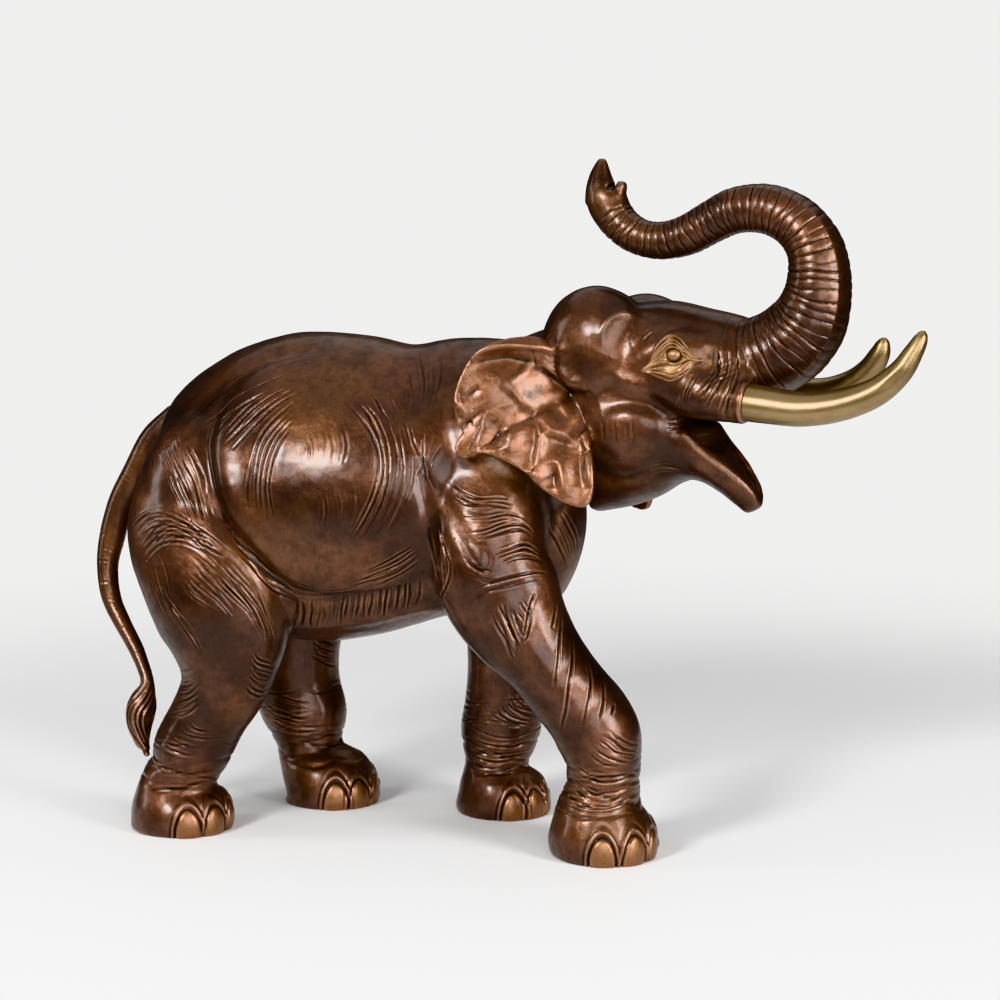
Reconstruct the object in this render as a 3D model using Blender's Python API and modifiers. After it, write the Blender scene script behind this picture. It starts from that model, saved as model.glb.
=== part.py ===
"""A walking bronze elephant with its trunk raised, cast in one piece, and its two tusks in their sockets.

Metres, +Z up. The elephant faces +X and its left side is +Y. The origin is on the ground, under the
middle of the whole piece. Every mass of the body is a loft or an ellipsoid. They are fused by a voxel
remesh and softened, the folds are pressed into the skin, and the skin is thinned to a faceted solid.
"""

import math

import bmesh
import bpy
import numpy as np
from mathutils import Matrix, Vector

# The head turns on the neck, towards the right side, and has a frame of its own: forward, left, up
NECK_PIVOT = Vector((0.040, 0.0, 0.0))
HEAD_TURN = math.radians(-15.0)
HEAD_FRAME = Matrix.Translation(NECK_PIVOT) @ Matrix.Rotation(HEAD_TURN, 4, "Z")
RIGHT, LEFT = -1, 1

# Skin: size of the remesh cells, passes of smoothing, and what the thinning leaves
CORE_VOXEL = 0.0040
SKIN_VOXEL = 0.0030
CORE_SMOOTHING = 12
SKIN_SMOOTHING = 3
CASTING_TRIANGLES = 8800
HEAD_STARTS_AT_X = 0.08
HEAD_STARTS_AT_Z = 0.36
HEAD_THINNING = 0.5
THINNING_WEIGHT = 0.015
LOFT_SIDES = 48
LOFT_STEPS = 6

BRONZE_COLOUR = (0.13, 0.055, 0.03)
BRONZE_ROUGHNESS = 0.35
TUSK_COLOUR = (0.42, 0.29, 0.12)
TUSK_ROUGHNESS = 0.25
TUSK_SIDES = 14
TUSK_STEPS = 2
SEAT_CLEARANCE = 0.0004

# Torso, rump to chest: x, y, z, half-width, half-height
TORSO = [
    (-0.372, 0.000, 0.322, 0.040, 0.050),
    (-0.358, 0.000, 0.321, 0.074, 0.079),
    (-0.330, 0.000, 0.321, 0.098, 0.108),
    (-0.270, 0.000, 0.331, 0.114, 0.142),
    (-0.200, 0.000, 0.343, 0.124, 0.158),
    (-0.130, 0.000, 0.349, 0.127, 0.152),
    (-0.072, 0.000, 0.355, 0.119, 0.138),
    (-0.020, 0.000, 0.365, 0.100, 0.136),
    (0.030, 0.000, 0.374, 0.086, 0.125),
    (0.060, 0.000, 0.376, 0.072, 0.100),
    (0.080, 0.000, 0.370, 0.050, 0.062),
]
SPINE_RIDGE = 0.22
# Neck, shoulders to skull: x, y, z, half-width, half-height
NECK = [
    (-0.010, 0.000, 0.399, 0.070, 0.084),
    (0.045, -0.005, 0.418, 0.072, 0.085),
    (0.100, -0.018, 0.440, 0.064, 0.081),
    (0.130, -0.026, 0.455, 0.040, 0.050),
]

# Legs, hip or shoulder to sole: x, y, z, half-width, half-length
RIGHT_HIND_LEG = [
    (-0.292, -0.050, 0.380, 0.034, 0.060),
    (-0.286, -0.068, 0.320, 0.048, 0.084),
    (-0.274, -0.076, 0.275, 0.053, 0.084),
    (-0.267, -0.080, 0.231, 0.053, 0.073),
    (-0.261, -0.080, 0.192, 0.048, 0.060),
    (-0.266, -0.078, 0.153, 0.043, 0.045),
    (-0.285, -0.075, 0.117, 0.040, 0.039),
    (-0.303, -0.072, 0.084, 0.040, 0.040),
    (-0.312, -0.071, 0.062, 0.037, 0.035),
    (-0.324, -0.070, 0.048, 0.037, 0.034),
    (-0.3235, -0.070, 0.032, 0.045, 0.0455),
    (-0.3185, -0.070, 0.016, 0.050, 0.053),
    (-0.316, -0.070, 0.003, 0.049, 0.051),
    (-0.316, -0.070, -0.006, 0.040, 0.042),
]
LEFT_HIND_LEG = [
    (-0.266, 0.050, 0.370, 0.034, 0.058),
    (-0.260, 0.068, 0.310, 0.048, 0.080),
    (-0.254, 0.076, 0.250, 0.050, 0.074),
    (-0.2495, 0.080, 0.200, 0.048, 0.0635),
    (-0.247, 0.078, 0.155, 0.045, 0.053),
    (-0.240, 0.077, 0.118, 0.042, 0.047),
    (-0.2305, 0.075, 0.090, 0.041, 0.0455),
    (-0.227, 0.073, 0.066, 0.037, 0.037),
    (-0.226, 0.071, 0.050, 0.035, 0.032),
    (-0.219, 0.070, 0.037, 0.042, 0.038),
    (-0.205, 0.070, 0.019, 0.048, 0.051),
    (-0.202, 0.070, 0.003, 0.048, 0.051),
    (-0.202, 0.070, -0.006, 0.040, 0.042),
]
RIGHT_FORE_LEG = [
    (-0.002, -0.050, 0.400, 0.035, 0.056),
    (-0.002, -0.068, 0.340, 0.046, 0.062),
    (0.007, -0.078, 0.289, 0.050, 0.058),
    (0.0225, -0.080, 0.254, 0.048, 0.0585),
    (0.039, -0.080, 0.225, 0.046, 0.051),
    (0.064, -0.079, 0.193, 0.044, 0.041),
    (0.086, -0.078, 0.164, 0.043, 0.040),
    (0.106, -0.076, 0.140, 0.042, 0.041),
    (0.117, -0.075, 0.119, 0.041, 0.042),
    (0.121, -0.073, 0.098, 0.038, 0.038),
    (0.121, -0.071, 0.078, 0.037, 0.036),
    (0.120, -0.070, 0.062, 0.039, 0.038),
    (0.118, -0.070, 0.046, 0.046, 0.044),
    (0.1195, -0.070, 0.022, 0.053, 0.0535),
    (0.121, -0.070, 0.003, 0.051, 0.052),
    (0.121, -0.070, -0.006, 0.043, 0.044),
]
LEFT_FORE_LEG = [
    (0.010, 0.050, 0.400, 0.035, 0.052),
    (0.012, 0.066, 0.340, 0.044, 0.056),
    (0.006, 0.076, 0.280, 0.045, 0.050),
    (-0.003, 0.077, 0.230, 0.043, 0.046),
    (-0.010, 0.076, 0.180, 0.042, 0.042),
    (-0.011, 0.076, 0.150, 0.041, 0.041),
    (-0.013, 0.074, 0.116, 0.040, 0.041),
    (-0.017, 0.073, 0.085, 0.039, 0.042),
    (-0.020, 0.071, 0.062, 0.035, 0.036),
    (-0.021, 0.070, 0.048, 0.034, 0.033),
    (-0.020, 0.070, 0.036, 0.042, 0.040),
    (-0.016, 0.070, 0.020, 0.047, 0.048),
    (-0.014, 0.070, 0.003, 0.047, 0.049),
    (-0.014, 0.070, -0.006, 0.040, 0.041),
]

# Tail, rump to the tip of the tuft: x, y, z, half-width, half-length
TAIL = [
    (-0.340, 0.000, 0.416, 0.010, 0.012),
    (-0.366, 0.000, 0.390, 0.012, 0.014),
    (-0.384, 0.000, 0.356, 0.014, 0.015),
    (-0.404, 0.000, 0.319, 0.013, 0.0145),
    (-0.4145, -0.002, 0.282, 0.012, 0.0135),
    (-0.418, -0.006, 0.254, 0.011, 0.011),
    (-0.412, -0.012, 0.223, 0.010, 0.010),
    (-0.398, -0.020, 0.200, 0.009, 0.009),
    (-0.380, -0.030, 0.176, 0.008, 0.008),
    (-0.367, -0.038, 0.154, 0.007, 0.007),
    (-0.362, -0.043, 0.140, 0.007, 0.0075),
    (-0.366, -0.047, 0.121, 0.013, 0.0145),
    (-0.368, -0.051, 0.104, 0.013, 0.0145),
    (-0.365, -0.055, 0.086, 0.008, 0.0085),
    (-0.356, -0.060, 0.068, 0.003, 0.003),
]

# Masses laid over the lofts, such as haunches, shoulders, chest and belly: centre, radii, nose-up pitch
BODY_MASSES = [
    ((-0.282, -0.056, 0.320), (0.082, 0.058, 0.112), 0),
    ((-0.266, 0.056, 0.320), (0.080, 0.056, 0.112), 0),
    ((0.000, -0.056, 0.355), (0.064, 0.046, 0.105), 8),
    ((0.008, 0.056, 0.355), (0.060, 0.044, 0.105), -4),
    ((-0.006, 0.000, 0.439), (0.070, 0.072, 0.057), 0),
    ((0.047, 0.000, 0.300), (0.038, 0.052, 0.080), -12),
    ((-0.145, 0.000, 0.310), (0.125, 0.108, 0.088), -4),
]
# Domes, skull, brow, cheekbones and cheeks, in the head's frame
HEAD_MASSES = [
    ((0.081, -0.033, 0.495), (0.059, 0.041, 0.061), 0),
    ((0.100, 0.035, 0.490), (0.056, 0.040, 0.056), 0),
    ((0.078, 0.000, 0.460), (0.076, 0.066, 0.068), 0),
    ((0.150, 0.000, 0.497), (0.060, 0.050, 0.040), 0),
    ((0.172, -0.044, 0.492), (0.040, 0.017, 0.026), 8),
    ((0.172, 0.044, 0.492), (0.040, 0.017, 0.026), 8),
    ((0.112, -0.036, 0.425), (0.056, 0.034, 0.052), 0),
    ((0.112, 0.036, 0.425), (0.056, 0.034, 0.052), 0),
    ((0.125, -0.026, 0.465), (0.066, 0.037, 0.050), 0),
    ((0.125, 0.026, 0.465), (0.066, 0.037, 0.050), 0),
]

# Parts of the head, all in its frame. Face, brow to muzzle: forward, left, up, half-width, half-height
FACE = [
    (0.095, 0.0, 0.475, 0.062, 0.060),
    (0.140, 0.0, 0.486, 0.062, 0.056),
    (0.180, 0.0, 0.487, 0.056, 0.048),
    (0.215, 0.0, 0.484, 0.050, 0.044),
    (0.245, 0.0, 0.480, 0.038, 0.036),
]
# Trunk, face to its cupped end: forward, left, up, half-width, half-depth
TRUNK = [
    (0.165, 0.0, 0.486, 0.046, 0.042),
    (0.215, 0.0, 0.484, 0.044, 0.041),
    (0.255, 0.0, 0.4965, 0.040, 0.0405),
    (0.280, 0.0, 0.5185, 0.036, 0.0385),
    (0.2915, 0.0, 0.544, 0.032, 0.0335),
    (0.294, 0.0, 0.571, 0.030, 0.0300),
    (0.288, 0.0, 0.597, 0.027, 0.0270),
    (0.269, 0.0, 0.619, 0.025, 0.0255),
    (0.240, 0.0, 0.6305, 0.023, 0.0240),
    (0.210, 0.0, 0.629, 0.021, 0.0225),
    (0.185, 0.0, 0.618, 0.020, 0.0212),
    (0.160, 0.0, 0.605, 0.019, 0.0200),
    (0.135, 0.0, 0.599, 0.018, 0.0190),
    (0.112, 0.0, 0.601, 0.017, 0.0185),
    (0.092, 0.0, 0.611, 0.017, 0.0190),
    (0.078, 0.0, 0.627, 0.017, 0.0200),
    (0.072, 0.0, 0.642, 0.017, 0.0212),
    (0.071, 0.0, 0.651, 0.015, 0.0200),
]
UPPER_FINGER = [
    (0.065, 0.0, 0.638, 0.013, 0.0130),
    (0.066, 0.0, 0.654, 0.012, 0.0125),
    (0.067, 0.0, 0.665, 0.008, 0.0085),
    (0.068, 0.0, 0.673, 0.005, 0.0055),
    (0.068, 0.0, 0.677, 0.003, 0.0030),
]
LOWER_FINGER = [
    (0.084, 0.0, 0.638, 0.010, 0.0070),
    (0.088, 0.0, 0.648, 0.008, 0.0060),
    (0.090, 0.0, 0.654, 0.005, 0.0040),
]
# Lower jaw, throat to lip: forward, left, up, half-width, half-height
JAW = [
    (0.060, 0.0, 0.377, 0.038, 0.047),
    (0.110, 0.0, 0.382, 0.045, 0.039),
    (0.145, 0.0, 0.391, 0.043, 0.029),
    (0.170, 0.0, 0.392, 0.038, 0.023),
    (0.190, 0.0, 0.384, 0.031, 0.0185),
    (0.208, 0.0, 0.3705, 0.023, 0.0150),
    (0.222, 0.0, 0.3555, 0.015, 0.0120),
    (0.231, 0.0, 0.343, 0.008, 0.0080),
]
# Lip, from the right corner of the mouth to the tip of the jaw
LIP = [
    (0.168, -0.038, 0.426, 0.006, 0.007),
    (0.184, -0.034, 0.405, 0.006, 0.007),
    (0.200, -0.027, 0.388, 0.006, 0.007),
    (0.216, -0.020, 0.372, 0.006, 0.006),
    (0.228, -0.012, 0.357, 0.006, 0.006),
    (0.234, -0.002, 0.344, 0.005, 0.006),
]
# Socket of the right tusk, cheek to rim: forward, left, up, half-width, half-height
SOCKET = [
    (0.150, -0.038, 0.470, 0.024, 0.030),
    (0.190, -0.044, 0.460, 0.023, 0.027),
    (0.220, -0.047, 0.455, 0.022, 0.023),
    (0.246, -0.047, 0.453, 0.0205, 0.0215),
]
# Tusks, root to tip: forward, left, up, radius across, radius deep
RIGHT_TUSK = [
    (0.228, -0.047, 0.4535, 0.0180, 0.0180),
    (0.262, -0.047, 0.4505, 0.0174, 0.0174),
    (0.298, -0.047, 0.4485, 0.0162, 0.0162),
    (0.334, -0.045, 0.4540, 0.0150, 0.0150),
    (0.366, -0.042, 0.4665, 0.0134, 0.0134),
    (0.388, -0.039, 0.4850, 0.0114, 0.0114),
    (0.400, -0.036, 0.5040, 0.0090, 0.0090),
    (0.406, -0.034, 0.5165, 0.0066, 0.0066),
    (0.407, -0.033, 0.5225, 0.0030, 0.0030),
]
LEFT_TUSK = [
    (0.228, 0.047, 0.4535, 0.0180, 0.0180),
    (0.256, 0.047, 0.4515, 0.0170, 0.0170),
    (0.286, 0.045, 0.4545, 0.0154, 0.0154),
    (0.312, 0.042, 0.4645, 0.0138, 0.0138),
    (0.330, 0.039, 0.4785, 0.0120, 0.0120),
    (0.341, 0.036, 0.4940, 0.0100, 0.0100),
    (0.345, 0.034, 0.5040, 0.0072, 0.0072),
    (0.346, 0.033, 0.5095, 0.0030, 0.0030),
]
# Rim of the right ear, from its root above round to its root in front, and the line of the root
EAR_RIM = [
    (0.052, -0.056, 0.494),
    (0.036, -0.074, 0.506),
    (0.014, -0.090, 0.506),
    (-0.008, -0.104, 0.496),
    (-0.022, -0.114, 0.477),
    (-0.029, -0.120, 0.450),
    (-0.026, -0.121, 0.426),
    (-0.021, -0.118, 0.417),
    (-0.027, -0.123, 0.402),
    (-0.017, -0.121, 0.391),
    (0.001, -0.117, 0.397),
    (0.021, -0.112, 0.391),
    (0.042, -0.107, 0.379),
    (0.059, -0.101, 0.363),
    (0.081, -0.095, 0.351),
    (0.098, -0.089, 0.350),
    (0.103, -0.084, 0.368),
    (0.098, -0.079, 0.388),
    (0.086, -0.070, 0.414),
]
EAR_ROOT = [(0.060, -0.050, 0.486), (0.084, -0.054, 0.424)]
EAR_THICKNESS = 0.0075
EAR_BELLY = 0.008
# The left ear is the same leaf spread wider, swept back and hung lower
LEFT_EAR_SPREAD = 1.24
LEFT_EAR_SWEEP = 0.044
LEFT_EAR_DROP = 1.17
EAR_TOP = 0.506

# Folds: a path on the skin, the half-width of the fold and its height, which is negative for a groove.
# Folds of the body are given on the right side, and the left side repeats them.
BODY_FOLDS = [
    ([(-0.258, -0.065, 0.454), (-0.273, -0.092, 0.410), (-0.271, -0.106, 0.382), (-0.250, -0.117, 0.325),
      (-0.210, -0.113, 0.276), (-0.184, -0.084, 0.230)], 0.008, -0.0055),
    ([(-0.240, -0.080, 0.448), (-0.254, -0.096, 0.410), (-0.248, -0.112, 0.370), (-0.232, -0.117, 0.332),
      (-0.200, -0.116, 0.290)], 0.012, 0.0025),
    ([(-0.180, -0.095, 0.245), (-0.147, -0.102, 0.254), (-0.106, -0.101, 0.262), (-0.060, -0.100, 0.275)],
     0.009, -0.0035),
    ([(-0.190, -0.070, 0.212), (-0.140, -0.074, 0.222), (-0.080, -0.074, 0.234), (-0.044, -0.080, 0.244)],
     0.010, 0.0020),
    ([(-0.315, -0.080, 0.405), (-0.290, -0.068, 0.434), (-0.262, -0.058, 0.456), (-0.226, -0.048, 0.476),
      (-0.172, -0.042, 0.486)], 0.012, -0.0035),
    ([(-0.054, -0.104, 0.395), (-0.049, -0.111, 0.360), (-0.041, -0.109, 0.321), (-0.038, -0.108, 0.283),
      (-0.047, -0.080, 0.242)], 0.008, -0.0055),
    ([(-0.050, -0.109, 0.379), (-0.029, -0.110, 0.351), (-0.004, -0.120, 0.318), (0.008, -0.124, 0.290)],
     0.008, -0.0022),
    ([(-0.331, -0.108, 0.321), (-0.302, -0.114, 0.328), (-0.269, -0.120, 0.315), (-0.237, -0.120, 0.287),
      (-0.213, -0.110, 0.247)], 0.013, 0.0030),
    ([(-0.067, -0.020, 0.490), (-0.070, -0.052, 0.470), (-0.071, -0.080, 0.444), (-0.068, -0.098, 0.416)],
     0.011, -0.0025),
    ([(0.058, -0.076, 0.349), (0.062, -0.062, 0.318), (0.062, -0.058, 0.290)], 0.007, -0.0030),
]
# Folds of the right side of the head: temple, eyelids, cheek, sheath of the tusk and corner of the mouth
HEAD_FOLDS = [
    ([(0.112, -0.066, 0.514), (0.120, -0.063, 0.506)], 0.016, -0.0085),
    ([(0.091, -0.072, 0.500), (0.092, -0.070, 0.515), (0.102, -0.066, 0.527), (0.116, -0.060, 0.532),
      (0.131, -0.052, 0.525)], 0.006, 0.0020),
    ([(0.142, -0.061, 0.482), (0.151, -0.060, 0.496), (0.160, -0.058, 0.508), (0.173, -0.055, 0.513),
      (0.186, -0.058, 0.504), (0.192, -0.058, 0.493)], 0.005, 0.0028),
    ([(0.144, -0.061, 0.478), (0.157, -0.062, 0.473), (0.171, -0.063, 0.470), (0.182, -0.062, 0.477),
      (0.190, -0.058, 0.490)], 0.005, 0.0022),
    ([(0.158, -0.060, 0.489), (0.173, -0.059, 0.500), (0.186, -0.058, 0.494)], 0.003, -0.0020),
    ([(0.172, -0.060, 0.494), (0.175, -0.060, 0.494)], 0.006, 0.0035),
    ([(0.103, -0.066, 0.468), (0.124, -0.062, 0.470)], 0.009, 0.0030),
    ([(0.099, -0.066, 0.436), (0.118, -0.068, 0.446), (0.140, -0.062, 0.448), (0.160, -0.056, 0.440),
      (0.174, -0.045, 0.434)], 0.008, -0.0045),
    ([(0.199, -0.052, 0.503), (0.211, -0.050, 0.492), (0.213, -0.056, 0.478), (0.204, -0.064, 0.464)],
     0.005, -0.0025),
    ([(0.230, -0.050, 0.434), (0.233, -0.064, 0.446), (0.236, -0.067, 0.458), (0.242, -0.058, 0.468),
      (0.250, -0.040, 0.475)], 0.0045, -0.0022),
    ([(0.162, -0.051, 0.435), (0.174, -0.043, 0.430)], 0.006, -0.0030),
]
# The spoon of the lower jaw, and the cup between the two fingers of the trunk
MIDDLE_FOLDS = [
    ([(0.164, 0.0, 0.412), (0.189, 0.0, 0.397), (0.209, 0.0, 0.379), (0.223, 0.0, 0.359)], 0.013, -0.010),
    ([(0.077, 0.0, 0.652), (0.079, 0.0, 0.650)], 0.007, -0.008),
]
# Folds of the right ear, from the rolled top down to the lower lobe
EAR_FOLDS = [
    ([(0.054, -0.069, 0.497), (0.036, -0.083, 0.501), (0.018, -0.095, 0.500), (-0.004, -0.108, 0.491)],
     0.005, 0.0050),
    ([(0.046, -0.076, 0.489), (0.030, -0.088, 0.488), (0.012, -0.100, 0.488), (-0.006, -0.110, 0.483)],
     0.004, -0.0035),
    ([(0.038, -0.082, 0.480), (0.050, -0.071, 0.474), (0.061, -0.065, 0.465), (0.074, -0.065, 0.459),
      (0.086, -0.064, 0.459)], 0.0045, 0.0050),
    ([(0.042, -0.079, 0.471), (0.052, -0.071, 0.464), (0.063, -0.065, 0.455), (0.078, -0.064, 0.450)],
     0.004, -0.0040),
    ([(0.015, -0.100, 0.467), (0.027, -0.093, 0.452), (0.041, -0.087, 0.437), (0.055, -0.086, 0.428),
      (0.068, -0.082, 0.419), (0.088, -0.078, 0.408)], 0.007, 0.0060),
    ([(0.031, -0.088, 0.472), (0.045, -0.079, 0.453), (0.060, -0.076, 0.438), (0.073, -0.076, 0.423)],
     0.007, -0.0035),
    ([(0.053, -0.073, 0.457), (0.067, -0.071, 0.440), (0.079, -0.069, 0.424)], 0.005, 0.0030),
    ([(0.052, -0.097, 0.411), (0.063, -0.091, 0.409), (0.073, -0.086, 0.405)], 0.007, -0.0050),
    ([(0.036, -0.093, 0.432), (0.040, -0.102, 0.411), (0.043, -0.108, 0.385)], 0.007, -0.0055),
    ([(0.022, -0.100, 0.428), (0.026, -0.110, 0.408), (0.026, -0.113, 0.394)], 0.007, 0.0035),
    ([(-0.002, -0.115, 0.412), (0.004, -0.114, 0.408)], 0.011, 0.0040),
    ([(0.054, -0.099, 0.404), (0.057, -0.102, 0.388), (0.058, -0.102, 0.371)], 0.006, 0.0040),
    ([(0.074, -0.092, 0.388), (0.079, -0.095, 0.366)], 0.007, 0.0030),
    ([(0.086, -0.087, 0.388), (0.090, -0.092, 0.362)], 0.005, -0.0030),
    ([(0.097, -0.088, 0.366), (0.099, -0.088, 0.362)], 0.006, 0.0030),
]
# Grooves across the trunk, between two shares of its length, and the ridged band along its underside
TRUNK_RINGS = 26
RING_DEPTH = 0.0022
RING_SHARPNESS = 0.22
RINGED_STRETCH = (0.12, 0.94)
BAND_HALF_ANGLE = math.radians(28)
BAND_DEPTH = 0.0012
BAND_RIDGE = 0.0014
# Feet: centre of the sole, half-length and the bearings of the toenails
FEET = [
    ((0.121, -0.070), 0.055, (-80, -42, -8, 26, 62)),
    ((-0.014, 0.070), 0.050, (-62, -30, 2, 36, 72)),
    ((-0.317, -0.070), 0.053, (-62, -27, 8, 43)),
    ((-0.202, 0.070), 0.052, (-66, -34, 0, 33)),
]
NAIL_HALF_WIDTH = 0.0145
NAIL_HEIGHT = 0.029
NAIL_RISE = 0.0030
CUTICLE_DEPTH = 0.0012
CUTICLE_RISE = 0.0014
# Folds round the ankles: centre of the leg and the heights of the folds
ANKLES = [
    ((0.121, -0.070), (0.060, 0.076, 0.093)),
    ((-0.018, 0.070), (0.056, 0.072)),
    ((-0.316, -0.071), (0.056, 0.072)),
    ((-0.220, 0.071), (0.054, 0.070)),
]
ANKLE_REACH = 0.055
ANKLE_FOLD_DEPTH = 0.0022
ANKLE_FOLD_WIDTH = 0.0032


def smooth_rows(rows, steps):
    """Rows read along a Catmull-Rom curve through the given ones, with `steps` to each gap."""
    rows = np.array(rows, float)
    padded = np.vstack([2 * rows[0] - rows[1], rows, 2 * rows[-1] - rows[-2]])
    read = []
    for i in range(len(rows) - 1):
        a, b, c, d = padded[i : i + 4]
        for t in np.arange(steps) / steps:
            square = 2 * a - 5 * b + 4 * c - d
            cube = 3 * b - a - 3 * c + d
            read.append(b + 0.5 * ((c - a) * t + square * t**2 + cube * t**3))
    read.append(rows[-1])
    return np.array(read)


def mirrored(stations):
    return [(x, -y, z, *sizes) for x, y, z, *sizes in stations]


def left_ear_point(point):
    forward, left, up = point
    swept = LEFT_EAR_SPREAD * forward - LEFT_EAR_SWEEP
    return (swept, -left, EAR_TOP - LEFT_EAR_DROP * (EAR_TOP - up))


def new_object(name, mesh, frame=None):
    obj = bpy.data.objects.new(name, mesh)
    bpy.context.scene.collection.objects.link(obj)
    if frame is not None:
        obj.matrix_world = frame
    return obj


def apply_modifiers(obj):
    graph = bpy.context.evaluated_depsgraph_get()
    mesh = bpy.data.meshes.new_from_object(obj.evaluated_get(graph))
    obj.modifiers.clear()
    old = obj.data
    obj.data = mesh
    bpy.data.meshes.remove(old)
    return obj


def spine_of(centres):
    """Unit tangents along a line of centres, and the directions across it and deep to it."""
    tangents = np.gradient(centres, axis=0)
    tangents /= np.linalg.norm(tangents, axis=1, keepdims=True)
    across = np.array([0.0, 1.0, 0.0]) - tangents * tangents[:, 1:2]
    across /= np.linalg.norm(across, axis=1, keepdims=True)
    return tangents, across, np.cross(tangents, across)


def loft(name, stations, frame=None, steps=LOFT_STEPS, sides=LOFT_SIDES, ridge=0.0):
    """A closed tube through stations of x, y, z, half-size across (along Y) and half-size deep.

    `ridge` draws the upper half in towards its middle, which leaves a ridge along the top."""
    rows = smooth_rows(stations, steps)
    _, across, deep = spine_of(rows[:, :3])
    turn = np.linspace(0, 2 * math.pi, sides, endpoint=False)
    made = bmesh.new()
    rings = []
    for row, side, normal in zip(rows, across, deep):
        ring = []
        for angle in turn:
            share = math.cos(angle) * (1 - ridge * max(0.0, math.sin(angle)) ** 2)
            point = row[:3] + side * row[3] * share + normal * row[4] * math.sin(angle)
            ring.append(made.verts.new(point))
        rings.append(ring)
    for one, other in zip(rings, rings[1:]):
        for i in range(sides):
            made.faces.new((one[i - 1], one[i], other[i], other[i - 1]))
    made.faces.new(rings[0])
    made.faces.new(rings[-1])
    bmesh.ops.recalc_face_normals(made, faces=made.faces)
    mesh = bpy.data.meshes.new(name)
    made.to_mesh(mesh)
    made.free()
    return new_object(name, mesh, frame)


def mass(name, centre, radii, pitch, frame=None):
    """An ellipsoid, tipped nose-up by `pitch` degrees."""
    tip = Matrix.Rotation(math.radians(-pitch), 4, "Y")
    place = Matrix.Translation(centre) @ tip @ Matrix.Diagonal((*radii, 1.0))
    made = bmesh.new()
    bmesh.ops.create_uvsphere(made, u_segments=32, v_segments=20, radius=1.0, matrix=place)
    mesh = bpy.data.meshes.new(name)
    made.to_mesh(mesh)
    made.free()
    return new_object(name, mesh, frame)


def ear(name, rim, root, side):
    """A ruffled leaf from its root on the head out to its rim, thickened."""
    rim = smooth_rows(rim, 4)
    rows = 12
    along = np.linspace(0, 1, len(rim))[:, None]
    root = np.array(root[0]) * (1 - along) + np.array(root[1]) * along
    made = bmesh.new()
    grid = []
    for share in np.linspace(0, 1, rows):
        points = root * (1 - share) + rim * share
        points[:, 1] += side * EAR_BELLY * math.sin(math.pi * share)
        grid.append([made.verts.new(point) for point in points])
    for one, other in zip(grid, grid[1:]):
        for i in range(len(rim) - 1):
            made.faces.new((one[i], one[i + 1], other[i + 1], other[i]))
    mesh = bpy.data.meshes.new(name)
    made.to_mesh(mesh)
    made.free()
    obj = new_object(name, mesh, HEAD_FRAME)
    shell = obj.modifiers.new("thickness", "SOLIDIFY")
    shell.thickness = EAR_THICKNESS
    shell.offset = 0.0
    return apply_modifiers(obj)


def fuse(name, pieces, voxel, smoothing):
    """One skin around all the pieces: their meshes joined, remeshed in cells and softened."""
    made = bmesh.new()
    for piece in pieces:
        mesh = piece.data
        mesh.transform(piece.matrix_world)
        made.from_mesh(mesh)
        bpy.data.objects.remove(piece)
        bpy.data.meshes.remove(mesh)
    mesh = bpy.data.meshes.new(name)
    made.to_mesh(mesh)
    made.free()
    obj = new_object(name, mesh)
    remesh = obj.modifiers.new("one skin", "REMESH")
    remesh.mode = "VOXEL"
    remesh.voxel_size = voxel
    soften = obj.modifiers.new("soften", "SMOOTH")
    soften.factor = 0.5
    soften.iterations = smoothing
    return apply_modifiers(obj)


def keep_largest_shell(obj):
    """Drop the small closed pockets that the remesh leaves between masses."""
    made = bmesh.new()
    made.from_mesh(obj.data)
    seen = set()
    shells = []
    for start in made.verts:
        if start in seen:
            continue
        seen.add(start)
        shell = [start]
        for vert in shell:
            for edge in vert.link_edges:
                other = edge.other_vert(vert)
                if other not in seen:
                    seen.add(other)
                    shell.append(other)
        shells.append(shell)
    shells.sort(key=len)
    pockets = [vert for shell in shells[:-1] for vert in shell]
    bmesh.ops.delete(made, geom=pockets, context="VERTS")
    made.to_mesh(obj.data)
    made.free()


def core_pieces():
    """The masses that flow into one another: torso, neck, legs, face, jaw, lips and tusk sockets."""
    pieces = [loft("torso", TORSO, ridge=SPINE_RIDGE), loft("neck", NECK)]
    pieces += [loft("leg", leg) for leg in (RIGHT_HIND_LEG, LEFT_HIND_LEG, RIGHT_FORE_LEG, LEFT_FORE_LEG)]
    pieces += [mass("mass", *sizes) for sizes in BODY_MASSES]
    pieces += [mass("mass", *sizes, HEAD_FRAME) for sizes in HEAD_MASSES]
    pieces += [loft("face", FACE, HEAD_FRAME), loft("jaw", JAW, HEAD_FRAME)]
    for right_half in (SOCKET, LIP):
        pieces += [loft("half", half, HEAD_FRAME) for half in (right_half, mirrored(right_half))]
    return pieces


def thin_pieces():
    """The parts that keep their edges: trunk, its two fingers, tail and ears."""
    pieces = [loft("trunk", stations, HEAD_FRAME) for stations in (TRUNK, UPPER_FINGER, LOWER_FINGER)]
    pieces.append(loft("tail", TAIL))
    pieces.append(ear("ear", EAR_RIM, EAR_ROOT, RIGHT))
    left_rim = [left_ear_point(point) for point in EAR_RIM]
    pieces.append(ear("ear", left_rim, mirrored(EAR_ROOT), LEFT))
    return pieces


def path_gap(points, path):
    """Distance of each point to a path, and how far along the path it is, from 0 to 1."""
    nearest = np.full(len(points), np.inf)
    share = np.zeros(len(points))
    run = 0.0
    for start, end in zip(path, path[1:]):
        step = end - start
        length = np.linalg.norm(step)
        part = np.clip((points - start) @ step / length**2, 0, 1)
        gap = np.linalg.norm(points - start - part[:, None] * step, axis=1)
        closer = gap < nearest
        nearest[closer] = gap[closer]
        share[closer] = run + part[closer] * length
        run += length
    return nearest, share / run


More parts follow.
